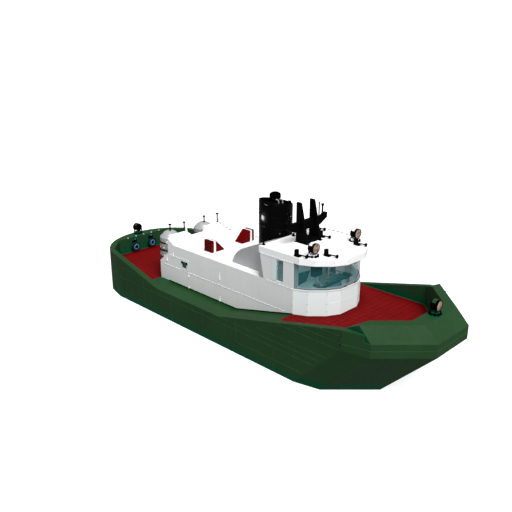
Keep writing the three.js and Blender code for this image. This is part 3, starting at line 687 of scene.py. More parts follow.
def hull_seams():
    """Weld beads along both sides and round the bow, in a lighter copy of the hull green: a painted
    highlight.
    """
    seams = []
    for sign in SIDES.values():
        y, out = on_side(sign, HULL_EDGE), (0, sign, 0)
        seams += [(bead, (first, y, height), (last, y, height), out) for height, first, last in SIDE_SEAMS]
        seams += [(bead, (station, y, low), (station, y, high), out) for station, low, high in UPRIGHT_SEAMS]
    for (x0, y0), (x1, y1) in zip(BOW_RING, BOW_RING[1:]):
        start, end = Vector((x0, y0, BOW_SEAM)), Vector((x1, y1, BOW_SEAM))
        seams.append((bead, start.lerp(end, 0.01), start.lerp(end, 0.99), (end - start).cross(Vector(UP))))
    piece("hull_weld_seams", "green_seam_highlight", seams)


def rail_studs():
    """Small pale pegs along the inner edge of the stern rail, and dark plugs in the transom."""
    profile = [(-0.02, 0.11), (0.06, 0.11), (0.09, 0.08), (0.09, 0)]
    piece("rail_studs", "white",
          [(lathe, (-7.55, y, 8), UP, profile, 16) for y in (7.54, 9.5, 11.35, 13.27, 15.2)])
    profile = [(-0.02, 0.16), (0.02, 0.16), (0.03, 0.1), (0.03, 0)]
    piece("transom_plugs", "rubber",
          [(lathe, (-7.5, y, 6.25), AHEAD, profile, 14) for y in (6.65, 11.22, 15.4)])


def belt_plugs():
    """Where the upright belt ends aft: two dark drain plugs in the joint on each side."""
    profile = [(0, 0.13), (0.04, 0.13), (0.05, 0.08), (0.05, 0)]
    piece("belt_drain_plugs", "rubber", [
        (lathe, (51.95, on_side(sign, HULL_EDGE) - sign * 0.02, height), (0, sign, 0), profile, 12)
        for sign in SIDES.values() for height in (8.85, 10.15)])


FRONT = [(40, 4), (42, 5), (44, 7), (45, 9), (45, 13), (44, 15), (42, 17), (40, 18)]
DECKS = {
    # deck: (edge listed from one side round the end to the other, height)
    "aft": ([(7.8, 20.9), (0.1, 20.9), (-3.95, 19.9), (-7.4, 16.45), (-7.4, 5.55), (-3.95, 2.1), (0.1, 1.1),
             (7.8, 1.1)], 5),
    "fore": ([(40.1, 1.1), (51.9, 1.1), (57.85, 7.05), (57.85, 14.95), (51.9, 20.9), (40.1, 20.9)], 8),
}
TREAD = {"inset": 0.045, "chamfer": 0.03, "proud": 0.02, "clear": 0.02}


def inside(point, outline):
    x, y = point
    within = False
    for (x0, y0), (x1, y1) in zip(outline, outline[1:] + outline[:1]):
        if (y0 > y) != (y1 > y) and x < (x1 - x0) * (y - y0) / (y1 - y0) + x0:
            within = not within
    return within


def tile(bm, i, j, height):
    """A low chamfered tile in the square whose corner is (i, j), open underneath."""
    low, high = (
        [bm.verts.new((i + a, j + b, z)) for a, b in ((n, n), (1 - n, n), (1 - n, 1 - n), (n, 1 - n))]
        for n, z in ((TREAD["inset"], height), (TREAD["inset"] + TREAD["chamfer"], height + TREAD["proud"])))
    bm.faces.new(high)
    for k in range(4):
        bm.faces.new((low[k], low[(k + 1) % 4], high[(k + 1) % 4], high[k]))


def deck_tread(deck):
    """One tile in each square of the grid that lies clear of the edges and the house."""
    outline, height = DECKS[deck]
    stations = [x for x, y in outline]
    ends = (TREAD["clear"], 1 - TREAD["clear"])
    tiles = []
    for i in range(math.floor(min(stations)), math.ceil(max(stations))):
        for j in range(int(BEAM)):
            corners = [(i + a, j + b) for a in ends for b in ends]
            under_house = deck == "fore" and any(inside(corner, FRONT) for corner in corners)
            if all(inside(corner, outline) for corner in corners) and not under_house:
                tiles.append((tile, i, j, height))
    piece(f"{deck}_deck_tread", "red", tiles, smooth=10)


def deck_margins():
    """A low green waterway bar along the foot of the bulwarks round each deck."""
    for deck, (edge, height) in DECKS.items():
        piece(f"{deck}_deck_margin", "margin", [(band, edge, 0.0, 0.16, height - 0.01, height + 0.035)],
              bevel=0.003)


SHAFT = {"offset": 7.15, "height": 2.05}


def anodes_and_grids():
    """Under the hull: bolted zinc anodes, sea-chest grids and the struts that carry the shafts."""
    zincs, struts, grids = [], [], []
    for sign in SIDES.values():
        y = on_side(sign, 3.2)
        for x in (14, 22, 30, 38):
            outline = [(x - 0.9, y - 0.22), (x + 0.9, y - 0.22), (x + 1.0, y), (x + 0.9, y + 0.22),
                       (x - 0.9, y + 0.22), (x - 1.0, y)]
            zincs.append((plan, outline, 0.0, 0.05))
        y = on_side(sign, SHAFT["offset"])
        for leg in (-1, 1):
            struts.append((taper, ((0.75, 1.25), (y + leg * 0.1, y + leg * 0.2), 2.2),
                           ((0.9, 1.5), (y + leg * 1.3, y + leg * 1.42), 4.02)))
        struts.append((lathe, (0.05, y, SHAFT["height"]), AHEAD,
                       [(0, 0.38), (0.1, 0.5), (1.2, 0.5), (1.35, 0.38)], 20))
        y = on_side(sign, 7.2)
        for i in range(7):
            x = 27.2 + i * 0.26
            grids.append((box, (x, x + 0.1), (y - 0.7, y + 0.7), (0.0, 0.03)))
        for span in ((y - 0.82, y - 0.7), (y + 0.7, y + 0.82)):
            grids.append((box, (27.0, 29.0), span, (0.0, 0.04)))
    piece("hull_anodes", "zinc", zincs, bevel=0.005)
    piece("shaft_struts", "primer", struts, bevel=0.006)
    piece("sea_chest_grids", "primer", grids)


# Deckhouse: seams, windows, door, posts, trunks and vents

HOUSE_SEAMS = [
    # height, first station, last station
    (8, 9.2, 38.4), (10.03, 10.9, 13.9), (12, 34.7, 39.9),
]
HOUSE_TICKS = [
    # station, lowest, highest
    (16, 5.05, 5.5), (16, 7.15, 7.85), (24, 5.1, 6.1), (24, 9.0, 10.3), (11.8, 9.9, 10.8), (10.0, 8.6, 9.45),
]
DOORWAY = (22, 27)
SEAM_DASH = {"length": 0.44, "pitch": 0.8, "least": 0.1}


def dashes(first, last):
    """The ends of each dash of a seam from first to last."""
    while first < last - SEAM_DASH["least"]:
        yield first, min(first + SEAM_DASH["length"], last)
        first += SEAM_DASH["pitch"]


def house_seams():
    """Welded seams along the house and short upright ones, standing out by a painted highlight: paint whiter
    than the walls.
    """
    seams = []
    for sign in SIDES.values():
        y, out = on_side(sign, HOUSE_EDGE), (0, sign, 0)
        for height, first, last in HOUSE_SEAMS:
            seams += [(chip, (a, y, height), (b, y, height), out, 0.1, 0.06) for a, b in dashes(first, last)]
        for station, low, high in HOUSE_TICKS:
            if sign < 0 or not DOORWAY[0] < station < DOORWAY[1]:
                seams.append((chip, (station, y, low), (station, y, high), out, 0.16, 0.12))
        corner = (45, on_side(sign, 9), 10)
        seams.append((bead, (44, on_side(sign, 7), 10), corner, (2, sign, 0), 10 * MM, 4 * MM))
        seams.append((bead, corner, (45, MIDDLE, 10), AHEAD, 10 * MM, 4 * MM))
    piece("house_panel_seams", "seam", seams)


def front_pins():
    """Small steel pins where the panels of the wheelhouse front meet."""
    corners = FRONT[:4] + [(45, MIDDLE)] + FRONT[4:]
    pins = []
    for before, (x, y), after in zip(corners[:1] + corners, corners, corners[1:] + corners[-1:]):
        out = (after[1] - before[1], before[0] - after[0], 0)
        pins += [(bolt, (x, y, height), out) for height in (8.7, 9.9, 11.4)]
    piece("front_panel_pins", "steel", pins)


def casing_window_frames():
    """A raised white frame about each small window, its glass set deep, with black clips above."""
    outer, inner = ((13.9, 8.12), (16.08, 10.2), 0.12), ((14.3, 8.48), (15.68, 9.66), 0.05)
    for name, sign in SIDES.items():
        y = on_side(sign, HOUSE_EDGE)
        piece(f"casing_window_rim_{name}", "white", [
            (wall_rim, outer, inner, y, sign, 0.02, 0.055),
            (box, (15.4, 15.72), (y - sign * 0.02, y - sign * 0.3), (8.4, 9.7))], bevel=0.006)
        piece(f"casing_window_clips_{name}", "rubber", [
            (box, (x - 0.14, x + 0.14), (y + sign * 0.13, y - sign * 0.18), (9.3, 9.72))
            for x in (14.28, 15.62)], bevel=0.004)


DOOR = {"aft": 23.03, "forward": 25.97, "low": 5.63, "high": 11.37, "face": 18}
DOOR_LIGHT = {"station": 24.5, "height": 10.3, "radius": 0.52}


def door_details():
    """The engine-room door: a rim and gasket line, a round light, six dogs, a lever and a kick plate."""
    face, x, z, r = DOOR["face"], DOOR_LIGHT["station"], DOOR_LIGHT["height"], DOOR_LIGHT["radius"]
    low, high = (DOOR["aft"] + 0.1, DOOR["low"] + 0.1), (DOOR["forward"] - 0.12, DOOR["high"] - 0.1)
    inner_low, inner_high = [n + 0.16 for n in low], [n - 0.16 for n in high]
    piece("door_stiffeners", "white", [
        (wall_rim, (low, high, 0.4), (inner_low, inner_high, 0.28), face, 1, 0.01, 0.06)] + [
        (box, (low[0] + 0.4, high[0] - 0.4), (face - 0.01, face + 0.045), (foot, foot + 0.14))
        for foot in (7.3, 9.0)], "door", bevel=0.004)
    piece("door_light_rim", "gold", [(ring, (x, face + 0.03, z), TO_PORT, r, 0.08)] + [
        (bolt, (x + r * math.cos(a), face + 0.1, z + r * math.sin(a)), TO_PORT, 0.035, 0.02)
        for a in turn(8)], "door")
    piece("door_light_glass", "glass_dark", [
        (lathe, (x, face, z), TO_PORT, [(-0.01, 0.5), (0.03, 0.5), (0.045, 0.3), (0.05, 0)], 28)], "door")
    dogs = []
    for x, lean in ((DOOR["aft"] + 0.24, 1), (DOOR["forward"] - 0.26, -1)):
        for z in (6.3, 8.5, 10.7):
            dogs.append((lathe, (x, face + 0.03, z), TO_PORT, [(0, 0.11), (0.07, 0.11), (0.09, 0.07)], 12))
            dogs.append((tube, [(x, face + 0.09, z), (x + lean * 0.12, face + 0.11, z),
                                (x + lean * 0.42, face + 0.11, z - 0.05)], 0.035))
    dogs.append((tube, [(23.6, face + 0.03, 8.2), (23.6, face + 0.13, 8.2), (23.95, face + 0.13, 8.2),
                        (24.3, face + 0.13, 8.15)], 0.045))
    piece("door_dogs", "steel", dogs, "door")
    piece("door_kick_plate", "steel", [(box, (23.45, 25.5), (face - 0.01, face + 0.03), (5.85, 6.9))], "door",
          bevel=0.003)
    piece("door_coaming", "white", [
        (box, (22.6, 26.0), (face - 0.02, face + 0.08), (5.25, 5.58)),
        (box, (22.75, 26.05), (face - 0.02, face + 0.06), (11.45, 11.65)),
        (box, (22.75, 22.95), (face - 0.02, face + 0.06), (5.58, 11.45)),
        (tube, [(22.3, face + out, z) for out, z in (
            (0, 7.2), (0.22, 7.2), (0.25, 7.4), (0.25, 9.6), (0.22, 9.8), (0, 9.8))], 0.05)], bevel=0.004)


POSTS = [
    # name, station, offset, foot, top
    ("starboard_trunk", 7.35, 6.95, 12.9, 14.3), ("port_trunk", 7.55, 14.9, 12.9, 14.3),
    ("starboard_ridge", 9.22, 8.75, 12.95, 14.75), ("port_ridge", 9.12, 16.85, 12.95, 14.75),
]


def roof_posts():
    """Air pipes on the trunks and the roof ridges, slim with a flat head, and a block by two of them."""
    for name, x, y, foot, top in POSTS:
        h = top - foot
        piece(f"air_pipe_{name}", "matt_black", [(lathe, (x, y, foot), UP, [
            (0, 0.24), (0.05, 0.24), (0.1, 0.15), (0.2, 0.125), (h - 0.3, 0.125), (h - 0.2, 0.15),
            (h - 0.16, 0.3), (h - 0.06, 0.33), (h, 0.24), (h, 0)], 20)])
    piece("air_pipe_blocks", "white", [
        (block, x, y, *size) for x, y in ((9.75, 8.75), (9.6, 16.9))
        for size in ((0.16, 0.14, (12.9, 13.62)), (0.1, 0.08, (13.6, 13.85)))], bevel=0.008)


TRUNK = {"station": 7.2, "offset": 7, "radius": 1.88, "foot": 5.002, "plates": 16}


def trunks():
    """Round trunks at the aft corners of the house: banded, with small hooped covers between the bands."""
    r, foot = TRUNK["radius"], TRUNK["foot"]
    for name, sign in SIDES.items():
        centre = (TRUNK["station"], on_side(sign, TRUNK["offset"]), 0)
        piece(f"trunk_shell_{name}", "grey", [(lathe, centre, UP, [
            (foot, r), (foot + 0.1, r), (11.97, r), (12.02, r - 0.03), (12.8, r - 0.8), (12.97, r - 1.12),
            (13.0, r - 1.2), (13.0, 0)], TRUNK["plates"])], smooth=15, replaces=[f"aft_trunk_{name}"])
        piece(f"trunk_bands_{name}", "band_red", [(lathe, centre, UP, [
            (z - 0.03, r - 0.1), (z - 0.03, r + 0.02), (z, r + 0.05), (z + 0.24, r + 0.05),
            (z + 0.27, r + 0.02), (z + 0.27, r - 0.1)], 56) for z in (8.2, 9.6, 11)], smooth=50)
        covers, hoops = [], []
        for height in (6.0, 7.3, 8.85, 10.25):
            for a in turn(12, 0.5):
                out = Vector((math.cos(a), math.sin(a), 0))
                if out.x <= 0.45:
                    point = Vector(centre) + out * (r - 0.02) + Vector(UP) * height
                    covers.append((lathe, point, out, [(0, 0.2), (0.05, 0.2), (0.08, 0.15), (0.08, 0)], 16))
                    hoops.append((ring, point + out * 0.05, out, 0.23, 0.03, 20, 6))
        piece(f"trunk_covers_{name}", "white", covers, smooth=30)
        piece(f"trunk_cover_hoops_{name}", "primer", hoops, slot="house_grey")


VENT = {"aft": 18, "forward": 19.9, "low": 12.01, "high": 14.03}


def vents():
    """Ventilators: a louvred red box outboard, a pale plate in it, and a red cowl sloping inboard."""
    aft, forward, low, high = VENT["aft"], VENT["forward"], VENT["low"], VENT["high"]
    for name, sign in SIDES.items():
        def profile(*points):
            return [(on_side(sign, y), z) for y, z in points]

        def slab(x0, x1, y0, y1, z0, z1):
            return box, (x0, x1), (on_side(sign, y0), on_side(sign, y1)), (z0, z1)
        piece(f"vent_cowl_{name}", "vent_red", [
            (section, profile((6.93, low), (8.95, low), (7.0, high), (6.93, high)), aft, forward)],
            bevel=0.006, replaces=[f"vent_{name}"])
        piece(f"vent_plate_{name}", "white", [
            slab(aft + 0.02, forward + 0.02, 6.5, 6.93, low, high - 0.03),
            slab(aft, forward + 0.04, 6.46, 6.97, low, 12.1)], bevel=0.006)
        # Painted shade: a black sheet behind the louvres, where the inside of the vent lies in shade.
        piece(f"vent_throat_{name}", "soot_and_shade", [slab(aft + 0.08, forward - 0.05, 6.24, 6.5, low, high - 0.1)])
        louvres = [slab(aft, aft + 0.12, 6.0, 6.5, low, high),
                   slab(forward - 0.12, forward, 6.0, 6.5, low, high),
                   slab(aft, forward, 6.0, 6.5, high - 0.1, high)]
        for z in (12.1 + i * 0.38 for i in range(5)):
            blade = profile((6.0, z), (6.12, z + 0.06), (6.12, z + 0.21), (6.0, z + 0.19))
            louvres.append((section, blade, aft + 0.1, forward - 0.1))
        piece(f"vent_louvres_{name}", "vent_red", louvres)
        piece(f"vent_studs_{name}", "vent_red", [
            (bolt, (aft + 0.24 + i * 0.355, on_side(sign, 6.25), high), UP, 0.07, 0.05) for i in range(5)])


# Funnel, housing and exhausts

FUNNEL = {"station": 29.87, "radius": 2.7, "foot": 13.9, "top": 22.04, "fall": 0.05, "lean": 0.165,
          "well": 0.2}
LIFTING_EYES = [
    # angle in degrees, drops below the top
    (12, (1.9,)), (-33, (4.75,)), (100, (2.55, 4.45)), (160, (2.55, 4.45)), (205, (2.55, 4.45)),
]


def funnel_point(angle, radius, drop):
    """A point drop below the funnel's sloping top, which falls to port and a little towards the bow."""
    ahead, across = radius * math.cos(angle), radius * math.sin(angle)
    top = FUNNEL["top"] - FUNNEL["fall"] * ahead - FUNNEL["lean"] * across
    return FUNNEL["station"] + ahead, MIDDLE + across, top - drop


def funnel():
    """The shell with its rolled rim, a sooty plate in its mouth, bands, lifting eyes and rungs."""
    r, well, angles = FUNNEL["radius"], FUNNEL["well"], turn(72)

    def level(radius, drop):
        return [funnel_point(a, radius, drop) for a in angles]
    rim = [(r, 0.1), (r - 0.03, 0.03), (r - 0.08, 0), (r - 0.13, 0.03), (r - 0.15, 0.1), (r - 0.15, well)]
    piece("funnel_shell", "black", [
        (loft, [(x, y, FUNNEL["foot"]) for x, y, z in level(r, 0)], *(level(*step) for step in rim))],
        smooth=40, replaces=["funnel"])
    piece("funnel_top_plate", "soot_and_shade", [(loft, level(r - 0.14, well + 0.02), level(r - 0.14, well - 0.06))],
          smooth=40)
    piece("funnel_bands", "black", [(hoop, level(r + 0.015, drop), 0.035) for drop in (0.42, 2.3, 4.2)])

    eyes = []
    for degrees, drops in LIFTING_EYES:
        a = math.radians(degrees)
        out = Vector((math.cos(a), math.sin(a), 0))
        for point in (Vector(funnel_point(a, r, drop)) for drop in drops):
            eyes.append((lathe, point - out * 0.02, out, [(0, 0.1), (0.04, 0.1), (0.06, 0.05)], 10))
            eyes.append((ring, point + out * 0.07, out.cross(Vector(UP)), 0.06, 0.02, 12, 6))
    piece("funnel_lifting_eyes", "steel", eyes)

    x = FUNNEL["station"] - math.sqrt(r * r - 0.4 * 0.4)
    rung = ((0, -0.4), (0.28, -0.4), (0.3, -0.36), (0.3, 0.36), (0.28, 0.4), (0, 0.4))
    piece("funnel_rungs", "steel", [
        (tube, [(x - out, MIDDLE + across, 14.8 + i * 0.78) for out, across in rung], 0.045)
        for i in range(9)])
    top_fittings()


def top_fittings():
    """On the funnel's top plate: the notched rain cowl, two exhaust bends and three low hatches."""
    def well_floor(x):
        return funnel_point(0, x - FUNNEL["station"], FUNNEL["well"])[2]
    x = 29.7
    base = well_floor(x)
    lobes = [(lathe, (x + 0.72 * math.cos(a), MIDDLE + 0.72 * math.sin(a), base + 0.62), UP,
              [(0, 0.16), (0.1, 0.2), (0.7, 0.19), (0.82, 0.1)], 10) for a in turn(11)]
    piece("exhaust_cowl", "soot_and_shade", [(lathe, (x, MIDDLE, base), UP, [
        (0, 0.8), (0.2, 0.8), (0.26, 0.62), (0.5, 0.6), (0.58, 0.76), (0.76, 0.88), (1.02, 0.92),
        (1.26, 0.88), (1.46, 0.74), (1.6, 0.5), (1.66, 0.22), (1.68, 0)], 32)] + lobes,
        replaces=["exhaust_cap"])
    bends = []
    for x, y in ((30.75, 10.35), (30.95, 11.05)):
        z = well_floor(x)
        path = ((0.16, -0.05), (0.16, 0.4), (0.12, 0.58), (0, 0.7), (-0.14, 0.72))
        bends.append((tube, [(x + out, y + out, z + up) for out, up in path], 0.1, 14))
        bends.append((ring, (x - 0.14, y - 0.14, z + 0.72), (-1, -1, 0.1), 0.1, 0.03, 14, 6))
    piece("exhaust_bends", "pipe_grey", bends)
    piece("funnel_top_hatches", "soot_and_shade", [
        (lathe, (x, y, well_floor(x) - 0.03), UP,
         [(0, 0.34), (0.12, 0.34), (0.16, 0.26), (0.2, 0.1), (0.2, 0)], 20)
        for x, y in ((28.6, 12.4), (28.6, 9.6), (31.0, 12.9))])


HOUSING_TOP = [(33, 17), (31.5, 16.5), (29.4, 15.6), (27.3, 14.6), (26.5, 13.95), (25.9, 13.25),
               (25.45, 12.4), (25.45, 12.02)]


def housing_trim():
    """The housing abaft the wheelhouse: an edge bar over each side and a foot seam."""
    bars = []
    for sign in SIDES.values():
        y = on_side(sign, 5.6)
        bars.append((tube, [(x, y - sign * 0.02, z - 0.03) for x, z in HOUSING_TOP], 0.04))
        bars.append((bead, (25.5, y, 12.06), (32.9, y, 12.06), (0, sign, 0), 20 * MM, 8 * MM))
    piece("housing_edge_bars", "housing", bars)


# Wheelhouse: seams, windows and roof

def side_windows():
    """The side window: a flush rim, a pale screen over its aft part, and dark teal slats behind the glass,
    painted shade for the cabin seen through it.
    """
    outer, inner = ((35.72, 12.26), (38.08, 15.87), 0.1), ((35.8, 12.34), (38.0, 15.8), 0.04)
    for name, sign in SIDES.items():
        y = on_side(sign, HOUSE_EDGE)
        near, far = (y + sign * 0.004, y + sign * 0.014), (y - sign * 0.42, y - sign * 0.48)
        piece(f"side_window_rim_{name}", "white", [(wall_rim, outer, inner, y, sign, 0.02, 0.028)],
              bevel=0.003)
        piece(f"side_window_screens_{name}", "front", [
            (box, (35.8, 36.72), near, (12.3, 15.8)), (box, (36.7, 37.55), far, (12.3, 15.8)),
            (box, (37.54, 38.0), far, (12.3, 13.55))], bevel=0.003)
        # Painted shade: dark teal slats behind the glass.
        piece(f"side_window_blind_{name}", "console", [
            (box, (x, x + 0.08), far, (13.6, 15.75)) for x in (37.57 + i * 0.11 for i in range(4))],
            slot="window_glass")


def corner_seals():
    """Grey sealing plates behind the leaning aft edge of each wheelhouse side."""
    outline = [(33.03, 12.04), (33.98, 12.04), (33.2, 15.96), (33.03, 15.96)]
    piece("wheelhouse_corner_seals", "housing", [
        (side, outline, on_side(sign, 4.05), on_side(sign, 4.19)) for sign in SIDES.values()])


STITCH = {"length": 0.45, "pitch": 0.9, "high": 0.1}


def roof_stitches():
    """Short grey stitch welds along the port edges of both roofs and of the ridge behind the port trunk."""
    length, pitch, high = STITCH["length"], STITCH["pitch"], STITCH["high"]
    welds = []
    for first, last, height in ((34.2, 41.0, BRIDGE_ROOF), (13.8, 27.0, HOUSE_ROOF)):
        for i in range(int((last - first) / pitch)):
            x = first + i * pitch
            welds.append((box, (x, x + length), (17.72, 17.97), (height, height + high)))
    for i in range(4):
        x = 9.7 + i * pitch
        z = 13.0 - (x - 9.4) * 0.25
        welds.append((box, (x, x + length), (16.72, 16.97), (z - high, z + high)))
    piece("roof_stitch_welds", "housing", welds)


def foot_shade_strips():
    """A black strip of painted shade where the house meets the side decks, rising with the ramp forward."""
    foot = [(10.4, 5.0), (28.0, 5.0), (40.0, 8.0)]
    outline = foot + [(x, z + 0.13) for x, z in foot[::-1]]
    piece("house_foot_shade_strips", "soot_and_shade", [
        (side, outline, on_side(sign, HOUSE_EDGE), on_side(sign, HOUSE_EDGE - 0.09))
        for sign in SIDES.values()])


def wheelhouse_side_seams():
    """A row of short seams under the roof and three by the forward corner, painted whiter than the walls as a
    highlight.
    """
    seams = []
    for sign in SIDES.values():
        y, out = on_side(sign, HOUSE_EDGE), (0, sign, 0)
        for x in (33.3 + i * 0.49 for i in range(14)):
            seams.append((chip, (x, y, 16.0), (x + 0.26, y, 16.0), out, 0.12, 0.07))
        for low, high in ((8.3, 8.9), (9.6, 10.3), (11.0, 11.7)):
            seams.append((chip, (39.93, y, low), (39.93, y, high), out, 0.1, 0.06))
    piece("wheelhouse_seams", "seam", seams)


def windscreen_trim():
    """Below the glass a sill, rubber strips at its foot and head, and two wipers."""
    piece("windscreen_sill", "white", [(band, FRONT, -0.06, 0.1, 11.9, 12.06)], bevel=0.004)
    piece("windscreen_rubbers", "rubber", [
        (band, FRONT, 0.06, 0.1, low, high) for low, high in ((12.06, 12.12), (15.92, 15.99))])
    x, reach = 45.02, 0.9
    wipers = []
    for y in (9.9, 12.1):
        wipers += [
            (lathe, (x - 0.12, y, 12.2), AHEAD, [(0, 0.08), (0.2, 0.08), (0.24, 0.05)], 12),
            (tube, [(x + 0.06, y, 12.2), (x + 0.07, y + 0.1, 12.5), (x + 0.02, y + reach, 13.6)], 0.03),
            (tube, [(x - 0.04, y + reach - 0.3, 13.1), (x - 0.04, y + reach + 0.32, 14.2)], 0.025)]
    piece("windscreen_wipers", "rubber", wipers)


ROOF = [(33, 4), (41, 4), (43, 5), (45, 7), (46, 9), (46, 13), (45, 15), (43, 17), (41, 18), (33, 18)]


def roof_edge(aft, forward, inboard, height):
    """The roof's outline moved by aft at its aft part, by forward at its forward part, and inboard."""
    return [(x + (aft if x < 40 else forward), y + (inboard if y < MIDDLE else -inboard), height)
            for x, y in ROOF]


def roof_trim():
    """A drip bar under the roof edge, a low bar round its top, and small fittings at its aft end."""
    piece("roof_drip_bar", "white", [(tube, roof_edge(0, -0.06, 0.06, 16.02), 0.035)])
    piece("roof_edge_bar", "white", [(hoop, roof_edge(0.05, -0.07, 0.07, BRIDGE_ROOF), 0.035)])
    pins = []
    for x, y in ROOF[1:-1]:
        out = Vector((max(x - 40, 0.1) * 0.6, y - MIDDLE, 0)).normalized()
        pins.append((bolt, (x - out.x * 0.02, y - out.y * 0.02, 16.55), out, 0.05, 0.05))
    piece("roof_edge_pins", "steel", pins)
    lumps = []
    for x, y in ((33.3, 4.75), (33.55, 11.2)):
        lumps.append((block, x, y, 0.25, 0.22, (BRIDGE_ROOF, 17.16)))
        lumps.append((lathe, (x, y, 17.14), UP, [(0, 0.17), (0.24, 0.17), (0.32, 0.1), (0.34, 0)], 14))
    piece("roof_aft_fittings", "matt_black", lumps, bevel=0.006)


HORNS = [
    # name, block station and offset, mouth station and offset
    ("forward_starboard", (40.2, 4.5), (41.85, 4.65)), ("middle", (43.1, 7.6), (44.8, 7.8)),
    ("forward_port", (43.15, 14.6), (44.65, 14.95)), ("aft_inner", (36.9, 13.9), (38.45, 14.05)),
    ("aft_outer", (33.9, 16.5), (35.35, 16.6)),
]
HORN_AXIS = 17.3
HORN_BELL = [(0, 0.1), (0.08, 0.16), (0.2, 0.25), (0.34, 0.27), (0.42, 0.24), (0.42, 0.18), (0.3, 0.1),
             (0.3, 0)]


def roof_horns():
    """Horns on the wheelhouse roof: an upright block on a foot, and a long trumpet laid forward from it."""
    for name, (x, y), (mouth_x, mouth_y) in HORNS:
        mouth = Vector((mouth_x, mouth_y, HORN_AXIS))
        along = Vector((mouth_x - x, mouth_y - y, 0)).normalized()
        piece(f"horn_{name}", "matt_black", [
            (box, (x - 0.3, x + 0.62), (y - 0.3, y + 0.3), (BRIDGE_ROOF, 17.22)),
            (box, (x - 0.3, x + 0.14), (y - 0.27, y + 0.27), (17.2, 18.0)),
            (side, [(x + 0.12, 17.2), (x + 0.5, 17.2), (x + 0.12, 17.6)], y - 0.1, y + 0.1),
            (rod, (x + 0.1, y, HORN_AXIS), mouth, 0.1),
            (lathe, mouth - along * 0.25, along, HORN_BELL, 18)], bevel=0.004)


# Wheelhouse inside: console, instruments, wheel, seats and overhead unit

DESK = 12.08


def console():
    """A dark teal desk with a red-brown edge and strap, dark glass panels, and two screen stands forward of
    it.
    """
    piece("console_top", "desk", [(box, (41.08, 42.62), (7.4, 14.6), (12.05, 12.09))], bevel=0.004)
    piece("console_strap", "edging", [(box, (41.0, 42.7), (12.35, 12.85), (DESK, 12.11))], bevel=0.003)
    outer, inner = ([(x0, y0), (x1, y0), (x1, y1), (x0, y1)]
                    for x0, x1, y0, y1 in ((41, 42.7, 7.3, 14.7), (41.1, 42.6, 7.42, 14.58)))
    piece("console_edge", "edging", [
        (flat_ring, outer, inner, lambda a, b, depth: (a, b, 11.76 + depth), 0.34)], bevel=0.003)
    piece("console_panels", "glass_dark", [
        (box, (41.9, 42.5), (y, y + 1.1), (DESK, 12.12))
        for y in (7.7 + i * 1.36 for i in range(5))], bevel=0.006)
    stands = []
    for y in (11.5, 13.5):
        stands.append((box, (42.95, 43.1), (y, y + 0.8), (10.7, 12.05)))
        stands.append((box, (42.6, 43.1), (y + 0.3, y + 0.5), (11.0, 11.3)))
    piece("console_screen_stands", "white", stands, bevel=0.004)


WHEEL = {"centre": (40.55, 11, 11.9), "axis": (1, 0, 0.35), "radius": 0.62, "spoke": 0.84}


def helm():
    """The wheel on its boss, and the small brass and white fittings on the console."""
    centre, axis = Vector(WHEEL["centre"]), Vector(WHEEL["axis"])
    u, v = square_to(axis)
    spokes = [(tube, [centre, centre + (u * math.cos(a) + v * math.sin(a)) * WHEEL["spoke"]], 0.032)
              for a in turn(6)]
    piece("helm_wheel", "gold", [
        (ring, centre, axis, WHEEL["radius"], 0.05, 36, 8),
        (lathe, centre - axis.normalized() * 0.1, axis,
         [(0, 0.16), (0.1, 0.18), (0.2, 0.16), (0.55, 0.08)], 16),
    ] + spokes)
    cups, stems = [], []
    for x, y, size in ((41.5, 8.0, 1.0), (41.4, 13.6, 0.7)):
        profile = ((0, 0.18), (0.06, 0.24), (0.24, 0.27), (0.28, 0.27), (0.28, 0.2), (0.12, 0.14), (0.12, 0))
        cups.append((lathe, (x, y, DESK), UP, [(along, radius * size) for along, radius in profile], 20))
        stems.append((ring, (x, y, 12.37), UP, 0.24 * size, 0.03, 20, 6))
        stems.append((rod, (x - 0.4, y - 0.1, DESK), (x - 0.45, y - 0.1, 12.6), 0.05, 10))
    piece("console_binnacles", "white", cups)
    piece("console_levers", "gold", stems)
    piece("console_radio", "edging", [(box, (42.1, 42.5), (8.9, 9.4), (12.1, 12.35))], bevel=0.01)


SEATS = [
    # name, station, offset, half breadth, replaced nodes
    ("helm", 39.4, 12.6, 0.95, ["helm_seat"]), ("mate", 38.9, 15.6, 0.8, []),
]


def seats():
    """Helm seat with a padded back and arms, and a mate's seat to port of it."""
    for name, x, y, half, replaced in SEATS:
        pads = [
            (box, (x - 0.98, x + 0.8), (y - half, y + half), (10.05, 10.5)),
            (taper, ((x - 1.0, x - 0.62), (y - half + 0.05, y + half - 0.05), 10.5),
             ((x - 1.08, x - 0.8), (y - half + 0.2, y + half - 0.2), 12.85))]
        stand = [(lathe, (x, y, 8.01), UP, [
            (0, 0.8), (0.12, 0.8), (0.2, 0.6), (0.3, 0.25), (1.6, 0.22), (1.8, 0.4), (2.05, 0.5)], 24)]
        for arm in (-1, 1):
            pads.append((box, (x - 0.7, x + 0.6), (y + arm * (half - 0.16), y + arm * (half + 0.04)),
                         (11.0, 11.2)))
            post = y + arm * (half - 0.06)
            stand.append((rod, (x + 0.3, post, 10.3), (x + 0.3, post, 11.02), 0.07))
        piece(f"{name}_seat_pads", "vinyl", pads, bevel=0.03, replaces=replaced)
        piece(f"{name}_seat_stand", "steel", stand)


